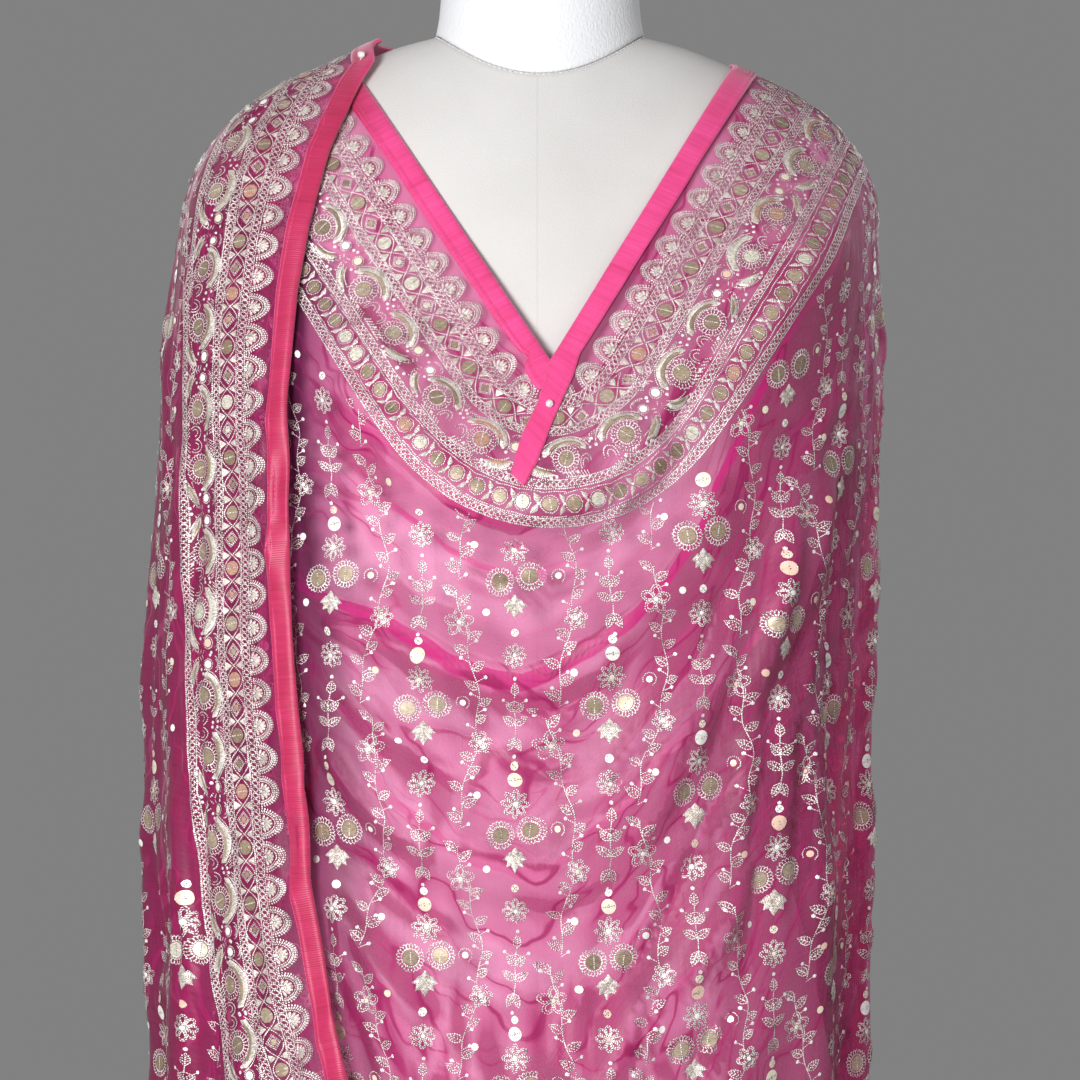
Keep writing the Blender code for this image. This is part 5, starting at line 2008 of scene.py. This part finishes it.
@dataclass(frozen=True)
class Ribbon:
    """Ribbed satin of the bindings."""

    name: str = "binding_satin"
    colour: Colour = (0.86, 0.075, 0.30)
    deep: Colour = (0.64, 0.03, 0.16)
    shaded: Colour = (0.62, 0.26, 0.36)
    shaded_side: tuple[float, float] = (-0.085, -0.105)
    ribs: float = 5200.0

    def material(self) -> bpy.types.Material:
        """Makes the finish."""
        material, nodes, shader = new_material(self.name)
        place = nodes.flat()
        ribs = nodes.maths("SINE", nodes.times(nodes.split(place)[0], self.ribs))
        streak = nodes.noise(nodes.stretched(place, (900, 30, 1)), 1.0, 3)
        wide = nodes.noise(nodes.stretched(place, (90, 30, 1)), 1.0, 2)
        height = nodes.plus(nodes.times(ribs, 0.4), streak)
        shade = nodes.plus(nodes.times(streak, 0.6), nodes.times(wide, 0.5))
        colour = nodes.mixed(nodes.ranged(shade, 0.35, 0.75), self.colour, self.deep)
        away = nodes.ranged(nodes.split(nodes.place())[0], *self.shaded_side)
        dimmer = nodes.mixed(away, (1.0, 1.0, 1.0), self.shaded)
        nodes.feed(shader, {"Base Color": nodes.tinted(colour, dimmer), "Roughness": 0.45,
                            "Sheen Weight": 0.3, "Normal": nodes.bump(height, 0.35, 0.0003)})
        return material


@dataclass(frozen=True)
class Yarn:
    """Thread whose colour runs stitch by stitch from painted shade to a painted highlight, as if it
    caught the light, over a bump of the same pattern.
    """

    name: str
    # The painted highlight, over the thread's own tone.
    light: Colour
    # The painted shade between the twists.
    dark: Colour
    metallic: float
    roughness: float
    stitch: float = 0.9

    def material(self) -> bpy.types.Material:
        """Makes the finish."""
        material, nodes, shader = new_material(self.name)
        place = nodes.place()
        run, across = nodes.split(nodes.flat())[:2]
        twist = nodes.maths("SINE", nodes.plus(nodes.times(run, 2 * math.pi / self.stitch),
                                               nodes.times(across, 2.2)))
        shine = nodes.plus(nodes.times(twist, 0.22), nodes.noise(place, 1100.0, 2.0))
        shine = nodes.plus(shine, nodes.times(nodes.noise(place, 160.0, 1.0), 0.5))
        share = nodes.ranged(shine, 0.61, 0.86)
        nodes.feed(shader, {"Base Color": nodes.mixed(share, self.dark, self.light),
                            "Metallic": self.metallic, "Roughness": self.roughness,
                            "Normal": nodes.bump(shine, 0.6, 0.0005)})
        return material


@dataclass(frozen=True)
class Foil:
    """Flat sewn-on metal: each piece has one of a few colours, picked at random; the palest stand
    for pieces that catch the light, a painted glint.
    """

    name: str
    tones_and_glints: tuple[tuple[float, Colour], ...]
    metallic: float
    roughness: float
    dimmed: Colour = (0.62, 0.6, 0.56)

    def material(self) -> bpy.types.Material:
        """Makes the finish."""
        material, nodes, shader = new_material(self.name)
        # Each piece's colour from the ramp: its own colour, and for the palest a painted glint.
        ramp = nodes.add("ShaderNodeValToRGB", {"Fac": nodes.attribute("tone", "Fac")})
        ramp.color_ramp.interpolation = "CONSTANT"
        for _ in range(len(self.tones_and_glints) - 2):
            ramp.color_ramp.elements.new(0.5)
        for element, (start, colour) in zip(ramp.color_ramp.elements, self.tones_and_glints):
            element.position, element.color = start, (*colour, 1)
        brushed = nodes.noise(nodes.stretched(nodes.place(), (500, 500, 1400)), 1.0, 2)
        colour = nodes.mixed(nodes.ranged(brushed, 0.35, 0.65),
                             nodes.tinted(ramp.outputs[0], self.dimmed), ramp.outputs[0])
        nodes.feed(shader, {"Base Color": colour, "Metallic": self.metallic,
                            "Roughness": self.roughness,
                            "Normal": nodes.bump(brushed, 0.2, 0.0003)})
        return material


@dataclass(frozen=True)
class Padding:
    """Plain cloth or felt stretched over the form."""

    name: str
    colour: Colour
    shade: Colour
    grain: float
    strength: float
    seam: Optional[float] = None

    def material(self) -> bpy.types.Material:
        """Makes the finish."""
        material, nodes, shader = new_material(self.name)
        place = nodes.place()
        knit = nodes.noise(nodes.stretched(place, (self.grain, self.grain, self.grain * 0.6)),
                           1.0, 3)
        worn = nodes.noise(place, 9.0, 4.0)
        colour = nodes.mixed(nodes.ranged(worn, 0.4, 0.75), self.colour, self.shade)
        if self.seam is not None:
            across = nodes.split(place)[0]
            off = nodes.maths("ABSOLUTE", nodes.maths("SUBTRACT", across, self.seam))
            colour = nodes.mixed(nodes.ranged(off, 0.0007, 0.0002, 0.0, 0.12), colour,
                                 tuple(0.5 * value for value in self.shade))
        nodes.feed(shader, {"Base Color": colour, "Roughness": 0.9,
                            "Normal": nodes.bump(knit, self.strength, 0.0006)})
        return material


@dataclass(frozen=True)
class Steel:
    """Brushed steel of the stand."""

    name: str = "brushed_steel"
    light: Colour = (0.62, 0.62, 0.64)
    dark: Colour = (0.42, 0.42, 0.44)

    def material(self) -> bpy.types.Material:
        """Makes the finish."""
        material, nodes, shader = new_material(self.name)
        brushed = nodes.noise(nodes.stretched(nodes.place(), (60, 60, 1400)), 1.0, 3)
        nodes.feed(shader, {"Base Color": nodes.mixed(brushed, self.dark, self.light),
                            "Metallic": 0.95,
                            "Roughness": nodes.ranged(brushed, 0.3, 0.7, 0.25, 0.42),
                            "Normal": nodes.bump(brushed, 0.15, 0.0002)})
        return material


# The cloth
class Cloth:
    """The one sheer sheet, wound round the form."""

    def __init__(self, lattice: Lattice, edges: Edges) -> None:
        """Keeps what the sheet is made over.

        Args:
            lattice: the folded surface.
            edges: its edge lines.
        """
        self.lattice = lattice
        self.edges = edges

    @staticmethod
    def rows_between(top: np.ndarray, bottom: np.ndarray) -> np.ndarray:
        """Levels of the rows of each column, following the top edge first and then level."""
        down = np.linspace(0, 1, SHELL_ROWS)[:, None] ** ROW_CROWDING
        settled = SETTLED_LEVEL + (HEM_LEVEL - SETTLED_LEVEL) * down
        return settled + (top - SETTLED_LEVEL) * (1 - down) ** 3 + (bottom - HEM_LEVEL) * down

    def wound(self) -> np.ndarray:
        """Pairs for the sheet from its hidden start to where the free end begins."""
        drape, v_angle = self.lattice.drape, self.edges.v_angle
        corners = (START_ANGLE, v_angle, FRONT_TO_SIDE, SIDE_TO_BACK, BACK_TO_END)
        spans = [np.linspace(*span) for span in zip(corners[:-1], corners[1:], SHELL_COLUMNS)]
        angle = np.concatenate([spans[0]] + [span[1:] for span in spans[1:]])
        top, bottom = drape.top_level(angle), np.full_like(angle, float(HEM_LEVEL))
        return pairs(angle, self.rows_between(top, bottom))

    def free_end(self, left: np.ndarray) -> np.ndarray:
        """Pairs for the sheet from its last wound column to its free edge."""
        drape = self.lattice.drape
        first = left[0, 0]
        right = drape.end_line(np.linspace(0, 1, SHELL_ROWS) ** ROW_CROWDING)
        across = np.linspace(0, 1, END_SHELL_COLUMNS)
        top_angle = first + (CORNER_ANGLE - first) * across
        top = pairs(top_angle, drape.top_level(top_angle))
        bottom = pairs(first + (right[-1, 0] - first) * across, float(HEM_LEVEL))
        down = ((left[:, 1] - left[0, 1]) / (left[-1, 1] - left[0, 1]))[:, None, None]
        share = across[None, :, None]
        return ((1 - down) * top[None] + down * bottom[None]
                + (1 - share) * left[:, None] + share * right[:, None]
                - (1 - down) * (1 - share) * top[0] - (1 - down) * share * top[-1]
                - down * (1 - share) * bottom[0] - down * share * bottom[-1])

    def build(self, material: bpy.types.Material) -> bpy.types.Object:
        """Makes the sheet."""
        wound = self.wound()
        grid = np.concatenate([wound, self.free_end(wound[:, -1])[:, 1:]], axis=1)
        points = self.lattice.lifted(grid, np.full(grid.shape[:2], SHELL_LIFT))
        uv = flat_lengths(points)
        made = grid_mesh("dupatta_cloth", points, uv, self.lattice.outward(grid))
        looks = self.lattice.gathered(self.lattice.looks, grid[..., 0], grid[..., 1])
        for name, first in (("folds", 0), ("relief", 2)):
            values = np.zeros((looks[..., 0].size, 3), np.float32)
            values[:, :2] = looks[..., first:first + 2].reshape(-1, 2)
            layer = made.data.attributes.new(name, "FLOAT_VECTOR", "POINT")
            layer.data.foreach_set("vector", values.ravel())
        dress(made, [material], "organza", "front_stretch", "side_stretch", "back_stretch",
              "end_stretch")
        LOG.info("the sheet runs %.3f m round the form", uv[..., 0].max())
        return made


class Bindings:
    """The ribbon that binds every edge, and its stitching."""

    # How far in and how high each point of the ribbon's section lies, in mm.
    profile = ((12.4, -0.5), (6.0, -0.7), (0.8, -0.7), (-0.1, -0.2), (-0.2, 0.9), (0.5, 1.7),
               (3.2, 1.9), (8.5, 1.9), (9.7, 1.75), (10.1, 1.95), (11.6, 1.95), (12.3, 1.75),
               (13.0, 0.7))
    pitch = 0.004
    stitch_rows = (9.8, 11.9)
    stitch_pitch = 0.0028
    stitch_start = 0.002
    top_slack = 0.6
    hem_slack = 0.4
    tail_steps = 18
    tail_lift = 0.0014
    end_lift = 0.0003

    def __init__(self, lattice: Lattice, edges: Edges, material: bpy.types.Material,
                 stitch: bpy.types.Material) -> None:
        """Keeps what the bindings follow and their finishes."""
        self.lattice = lattice
        self.edges = edges
        self.material = material
        self.stitch = stitch

    def strip(self, name: str, edge: np.ndarray, inner: np.ndarray, node: Sequence[str],
              lift: float = 0.0) -> bpy.types.Object:
        """Makes one stretch of ribbon.

        Args:
            name: the piece's name.
            edge: pairs along the cloth's edge.
            inner: pairs the ribbon's width further in.
            node: the solids that it stands for.
            lift: how much further off the cloth it lies.
        Returns:
            The piece.
        """
        share = np.array([step[0] / BINDING for step in self.profile])
        height = np.array([step[1] * MM + lift for step in self.profile])
        grid = edge[None] + share[:, None, None] * (inner - edge)[None]
        points = self.lattice.lifted(grid, np.broadcast_to(height[:, None], grid.shape[:2]))
        run = lengths_of(points[len(self.profile) // 2])
        across = np.concatenate([[0], np.cumsum(np.hypot(*np.diff(np.array(self.profile).T)))])
        uv = np.stack(np.meshgrid(run, across * MM), axis=-1)
        made = grid_mesh(name, points, uv, self.lattice.outward(grid))
        dress(made, [self.material], "binding", *node)
        return made

    def even(self, line: np.ndarray) -> np.ndarray:
        """A line of pairs respaced to the ribbon's steps."""
        return spaced(line, self.lattice.drape.plain(line[:, 0], line[:, 1]), self.pitch)

    def inner(self, line: np.ndarray, side: Side) -> np.ndarray:
        """The ribbon's inner edge, its width further in than its outer one."""
        return self.lattice.drape.inset(line, side.value, BINDING * MM)

    def stretch(self, line: np.ndarray, side: Side, span: tuple[str, float, float],
                slack: float) -> bpy.types.Object:
        """Makes the ribbon of one stretch of the top edge or the hem.

        Args:
            line: pairs along the whole edge.
            side: which edge it is.
            span: the stretch's name, and the angles where it starts and stops.
            slack: how many degrees it runs on at both ends.
        Returns:
            The piece.
        """
        name, first, last = span
        part = self.even(line[(line[:, 0] <= first + slack) & (line[:, 0] >= last - slack)])
        word = f"{name}_{side.name.lower()}"
        return self.strip(f"{word}_ribbon", part, self.inner(part, side), [f"{word}_binding"])

    def build(self) -> list[bpy.types.Object]:
        """Makes every stretch of ribbon."""
        top, hem, end = (self.edges.lines[side][0] for side in Side)
        run_on = [(V_POINT[0] + share * TUCK_UNDER[0], V_POINT[1] + share * TUCK_UNDER[1])
                  for share in np.linspace(0.2, 1, 5)]
        under = np.array([self.lattice.drape.front_place(*place) for place in run_on])
        left = self.even(np.concatenate([top[top[:, 0] >= self.edges.v_angle], under]))
        end = self.even(end)
        front = ("front", START_ANGLE + 1, FRONT_TO_SIDE)
        return [
            self.strip("left_v_ribbon", left, self.inner(left, Side.TOP), ["left_v_binding"]),
            self.right_and_tail(top),
            *(self.stretch(top, Side.TOP, span, self.top_slack) for span in RIBBON_SPANS),
            *(self.stretch(hem, Side.HEM, span, self.hem_slack)
              for span in (front, *RIBBON_SPANS)),
            self.strip("end_ribbon", end, self.inner(end, Side.END), ["end_binding"],
                       self.end_lift),
        ]

    def right_and_tail(self, top: np.ndarray) -> bpy.types.Object:
        """Makes the right arm's ribbon, which runs over the left one and on as a tail."""
        drape = self.lattice.drape
        arm = self.even(top[(top[:, 0] <= self.edges.v_angle) & (top[:, 0] >= FRONT_TO_SIDE)])
        arm_inner = self.inner(arm, Side.TOP)
        stops = np.linspace(0, len(TAIL_LEFT) - 1, self.tail_steps)
        tails = []
        for line in (TAIL_LEFT, TAIL_RIGHT):
            route = np.array(line, float).T * MM
            tails.append(np.array([drape.front_place(along(route[0], stop), along(route[1], stop))
                                   for stop in stops]))
        edge = np.concatenate([tails[0][::-1], arm[2:]])
        inner = np.concatenate([tails[1][::-1], arm_inner[2:]])
        return self.strip("right_v_ribbon", edge, inner, ["right_v_binding", "tuck_tail"],
                          self.tail_lift)

    def stitches(self) -> bpy.types.Object:
        """Sews the two rows of stitches near each ribbon's inner edge."""
        sewn = Sewn(self.lattice, STITCH_SEED)
        drape = self.lattice.drape
        motif = Stitching()
        motif.stroke([(-1.05, 0), (1.05, 0)], 0.42, 1.55)
        for side in Side:
            for depth in self.stitch_rows:
                line = self.edges.line(side, depth)
                points = drape.plain(line[:, 0], line[:, 1])
                run = lengths_of(points)
                stops = np.arange(self.stitch_start, run[-1] - self.stitch_start,
                                  self.stitch_pitch)
                places = read_at(stops, run, line)
                ahead = unit(read_at(stops, run, np.gradient(points, axis=0)))
                by_angle, by_level = drape.slopes(places[:, 0], places[:, 1])
                out = unit(np.cross(by_angle, by_level))
                aside = np.cross(out, ahead)
                turn = drape.turning(places) @ np.stack([ahead, aside], axis=-1) * MM
                flat = motif.joined()[0]
                spots = places[:, None] + np.einsum("kij,nj->kni", turn, flat[:, :2])
                sewn.lay(motif, spots, np.ones(len(places)))
        return dress(sewn.piece("binding_stitches"), [self.stitch], "binding")


# The form and its stand
@dataclass
class DressForm:
    """The limbless form: padded torso, felt neck and the thread between them."""

    columns: int = 112
    torso_rows: int = 96
    thread_radius: float = 0.0003
    stitch_count: int = 120
    stitch_share: float = 0.62
    stitch_lift: float = 0.0004
    seam_gap: float = 0.0003
    sections: Sections = field(
        default_factory=lambda: Sections(read_table(FORM_SECTIONS, FORM_COLUMNS)))

    def ring(self, level: float) -> np.ndarray:
        """Points round the form at a level."""
        angle = np.linspace(0, 360, self.columns + 1)
        return self.sections.points(angle, np.full_like(angle, level))

    def torso(self, material: bpy.types.Material) -> bpy.types.Object:
        """Makes the torso."""
        last = len(FORM_SECTIONS) - 1
        rings = [self.ring(level) for level in np.linspace(0, last, self.torso_rows)]
        for share in (0.9, 0.5, 0.0):
            rings.insert(0, self.shrunk(self.ring(0), share))
            rings.append(self.shrunk(self.ring(last), share))
        points = np.array(rings)
        made = grid_mesh("form_torso", points, flat_lengths(points), (1, 0, 0), weld=True)
        return dress(made, [material], "jersey", "torso")

    @staticmethod
    def shrunk(ring: np.ndarray, share: float) -> np.ndarray:
        """A ring drawn in to its middle."""
        middle = ring[:-1].mean(0)
        return middle + (ring - middle) * share

    def neck(self, material: bpy.types.Material) -> bpy.types.Object:
        """Makes the neck piece."""
        seam = self.ring(0)
        rings = [self.shrunk(seam, 0.0), self.shrunk(seam, 0.6)]
        for scale, climb, down in (
            (0.985, 0.004, 0), (1.0, 0.012, 0), (0.99, 0.04, 0), (0.968, 0.12, 0),
            (0.955, 0.22, 0), (0.945, 0.35, 0), (0.936, 0.5, 0), (0.93, 0.7, 0),
            (0.926, 0.88, 0), (0.925, 0.96, -0.004), (0.915, 1.0, -0.003), (0.89, 1.0, -0.0008),
            (0.86, 1.0, 0), (0.5, 1.0, 0), (0.0, 1.0, 0),
        ):
            ring = seam * (scale, scale, 1)
            foot = seam[:, 2] + self.seam_gap
            ring[:, 2] = foot + (NECK_TOP - foot) * climb + down
            rings.append(ring)
        points = np.array(rings)
        made = grid_mesh("form_neck", points, flat_lengths(points), (1, 0, 0), weld=True)
        return dress(made, [material], "felt", "neck")

    def seam(self, material: bpy.types.Material) -> bpy.types.Object:
        """Makes the row of stitches round the neck."""
        pitch = 360 / self.stitch_count
        shape = bmesh.new()
        for k in range(self.stitch_count):
            angles = np.array([0.0, self.stitch_share]) * pitch + k * pitch
            ends = self.sections.points(angles, np.zeros(2))
            middle, ahead = Vector(ends.mean(0)), Vector(ends[1] - ends[0])
            made = bmesh.ops.create_cone(
                shape, cap_ends=True, segments=6, radius1=self.thread_radius,
                radius2=self.thread_radius, depth=ahead.length)
            turn = Vector((0, 0, 1)).rotation_difference(ahead).to_matrix()
            out = Vector((middle.x, middle.y, 0)).normalized() * self.stitch_lift
            for vertex in made["verts"]:
                vertex.co = turn @ vertex.co + middle + out
        name = "neck_seam_thread"
        return dress(object_of(name, mesh_of(name, shape)), [material], "felt")


@dataclass
class Stand:
    """Base, pole and collar, each turned round the upright axis."""

    material: bpy.types.Material
    steps: int = 72

    def turned_piece(self, name: str, profile: Sequence[tuple[float, float]],
                     node: str) -> bpy.types.Object:
        """Spins a profile round the upright axis.

        Args:
            name: the piece's name.
            profile: distances from the axis and heights, from its underside up.
            node: the solid that it stands for.
        Returns:
            The piece.
        """
        shape = bmesh.new()
        verts = [shape.verts.new((radius, 0, height)) for radius, height in profile]
        edges = [shape.edges.new(pair) for pair in zip(verts[:-1], verts[1:])]
        bmesh.ops.spin(shape, geom=verts + edges, axis=(0, 0, 1), cent=(0, 0, 0),
                       angle=2 * math.pi, steps=self.steps, use_merge=True)
        bmesh.ops.remove_doubles(shape, verts=shape.verts, dist=1e-6)
        bmesh.ops.recalc_face_normals(shape, faces=shape.faces)
        data = mesh_of(name, shape)
        data.shade_smooth()
        return dress(object_of(name, data), [self.material], "stand", node)

    def build(self) -> None:
        """Makes the three pieces to the sizes of their solids."""
        _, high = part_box("stand_base")
        radius, top = float(high[0]), float(high[2])
        self.turned_piece("base_plate", (
            (0, 0), (radius - 0.003, 0), (radius - 0.001, 0.001), (radius, 0.003),
            (radius, top - 0.005), (radius - 0.0012, top - 0.0022), (radius - 0.004, top - 0.0005),
            (radius - 0.012, top), (0.03, top), (0, top)), "stand_base")
        for name, node, foot, cap in (("upright_pole", "stand_pole", 0.001, 0.001),
                                      ("pole_collar", "stand_collar", 0.004, 0.003)):
            low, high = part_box(node)
            radius, bottom, top = float(high[0]), float(low[2]), float(high[2])
            self.turned_piece(name, (
                (0, bottom), (radius - foot, bottom), (radius, bottom + foot),
                (radius, top - foot), (radius - cap, top), (0, top)), node)


@dataclass
class Pins:
    """Two pearl-headed pins that hold the drape."""

    lattice: Lattice
    pearl: bpy.types.Material
    head: float = 0.0021
    shank: float = 0.0003
    length: float = 0.012
    lift: float = 0.0048

    def pin(self, name: str, place: np.ndarray,
            aim: tuple[float, float, float]) -> bpy.types.Object:
        """Makes a pin.

        Args:
            name: the piece's name.
            place: its (angle, level) pair.
            aim: the way its shank runs under the cloth.
        Returns:
            The piece.
        """
        points, normal = self.lattice.read(place[0:1], place[1:2])
        centre = Vector(points[0] + normal[0] * self.lift)
        shape = bmesh.new()
        bmesh.ops.create_icosphere(shape, subdivisions=3, radius=self.head)
        made = bmesh.ops.create_cone(shape, cap_ends=True, segments=8, radius1=self.shank,
                                     radius2=self.shank, depth=self.length)
        turn = Vector((0, 0, 1)).rotation_difference(Vector(aim)).to_matrix()
        for vertex in made["verts"]:
            vertex.co = turn @ (vertex.co + Vector((0, 0, self.length / 2)))
        bmesh.ops.translate(shape, verts=shape.verts, vec=centre)
        data = mesh_of(name, shape)
        data.shade_smooth()
        return dress(object_of(name, data), [self.pearl], "binding")


@dataclass
class Studio:
    """Camera, floor and lights."""

    eye: tuple[float, float, float] = (0.0, -2.2, 1.1746)
    frame_width: float = 0.6124
    sensor: float = 36.0
    aim_height: float = 1.15

    def camera(self) -> None:
        """Sets the camera that sees the front as in the photograph."""
        data = bpy.data.cameras.new("camera")
        data.sensor_width = self.sensor
        data.lens = self.sensor * abs(self.eye[1]) / self.frame_width
        made = bpy.data.objects.new("camera", data)
        made.location = self.eye
        made.rotation_euler = (math.pi / 2, 0, 0)
        bpy.context.scene.collection.objects.link(made)
        bpy.context.scene.camera = made

    def floor(self) -> None:
        """Lays the plain pale floor."""
        shape = bmesh.new()
        bmesh.ops.create_grid(shape, x_segments=1, y_segments=1, size=6)
        data = mesh_of("floor", shape)
        material, nodes, shader = new_material("floor_paper")
        nodes.feed(shader, {"Base Color": (0.55, 0.55, 0.55, 1), "Roughness": 0.9})
        data.materials.append(material)
        object_of("floor", data)

    def lights(self) -> None:
        """Hangs the soft lights and sets the grey surroundings."""
        for name, place, size, power in (
            ("key", (-0.75, -1.9, 1.35), 0.6, 45), ("fill", (1.4, -2.2, 2.1), 1.6, 10),
            ("back_left", (-1.6, 2.2, 2.4), 1.6, 18), ("back_right", (1.8, 2.0, 2.2), 1.6, 14),
        ):
            data = bpy.data.lights.new(name, "AREA")
            data.shape, data.size, data.energy = "SQUARE", size, power
            made = bpy.data.objects.new(name, data)
            made.location = place
            aim = Vector((0, 0, self.aim_height)) - Vector(place)
            made.rotation_euler = aim.to_track_quat("-Z", "Y").to_euler()
            bpy.context.scene.collection.objects.link(made)
        world = bpy.data.worlds.new("grey_room")
        world.use_nodes = True
        background = world.node_tree.nodes["Background"]
        background.inputs["Color"].default_value = (0.22, 0.22, 0.22, 1)
        background.inputs["Strength"].default_value = 1.0
        bpy.context.scene.world = world
        bpy.context.scene.view_settings.view_transform = "Standard"


# The threads' first colours are painted highlights and their second painted shade; the foils'
# palest colours are painted glints.
THREAD_FINISHES = (
    Yarn("silver_thread", (1.0, 0.95, 0.91), (0.13, 0.05, 0.06), 0.12, 0.38, 1.2),
    Yarn("padded_leaf_thread", (0.98, 0.93, 0.89), (0.26, 0.18, 0.12), 0.25, 0.35, 0.8),
    Foil("flat_discs", ((0.0, (0.46, 0.36, 0.25)), (0.34, (0.38, 0.29, 0.20)),
                        (0.62, (0.58, 0.47, 0.35)), (0.80, (0.70, 0.40, 0.30)),
                        (0.91, (0.92, 0.88, 0.76))), 0.3, 0.38),
    Foil("sequins", ((0.0, (1.0, 0.99, 0.96)), (0.60, (0.90, 0.82, 0.66)),
                     (0.86, (0.90, 0.62, 0.50))), 0.1, 0.3, (0.90, 0.89, 0.86)),
    Yarn("seed_beads", (0.98, 0.96, 0.94), (0.62, 0.52, 0.54), 0.1, 0.25),
)


def main() -> None:
    """Builds every piece and logs each one's triangles."""
    logging.basicConfig(level=logging.INFO, format="%(message)s")
    studio = Studio()
    studio.camera()
    studio.floor()
    studio.lights()
    drape = Drape()
    lattice = Lattice(drape)
    edges = Edges(drape)

    jersey = Padding("form_jersey", (0.66, 0.645, 0.63), (0.58, 0.565, 0.55), 1500, 0.35,
                     -0.0015).material()
    felt = Padding("neck_felt", (0.78, 0.79, 0.81), (0.72, 0.73, 0.75), 700, 0.8).material()
    form = DressForm()
    form.torso(jersey)
    form.neck(felt)
    form.seam(Yarn("seam_thread", (0.8, 0.8, 0.8), (0.6, 0.6, 0.6), 0.0, 0.7).material())
    Stand(Steel().material()).build()

    sheet = Cloth(lattice, edges).build(Organza().material())
    stitch = Yarn("binding_thread", (0.9, 0.12, 0.34), (0.6, 0.02, 0.12), 0.0, 0.5).material()
    bindings = Bindings(lattice, edges, Ribbon().material(), stitch)
    ribbons = bindings.build()
    stitches = bindings.stitches()

    finishes = [finish.material() for finish in THREAD_FINISHES]
    embroidery = Embroidery(lattice, edges, finishes)
    sewn = [embroidery.border(side, BORDER_SEED + k) for k, side in enumerate(Side)]
    for name, low, high in (("front_field_embroidery", FRONT_TO_SIDE, PAST_START),
                            ("back_field_embroidery", BACK_TO_END, FRONT_TO_SIDE),
                            ("end_field_embroidery", FIELD_END, BACK_TO_END)):
        sewn.append(embroidery.strewn(name, low, high, FIELD_SEED))
    pins = Pins(lattice, finishes[Thread.BEAD.value])
    pearls = [pins.pin("tuck_pin", drape.front_place(0.006, 1.243), (0.3, 0.4, -1)),
              pins.pin("shoulder_pin", edges.line(Side.END, 6.0)[13], (-0.2, 0.7, -1))]


if __name__ == "__main__":
    main()
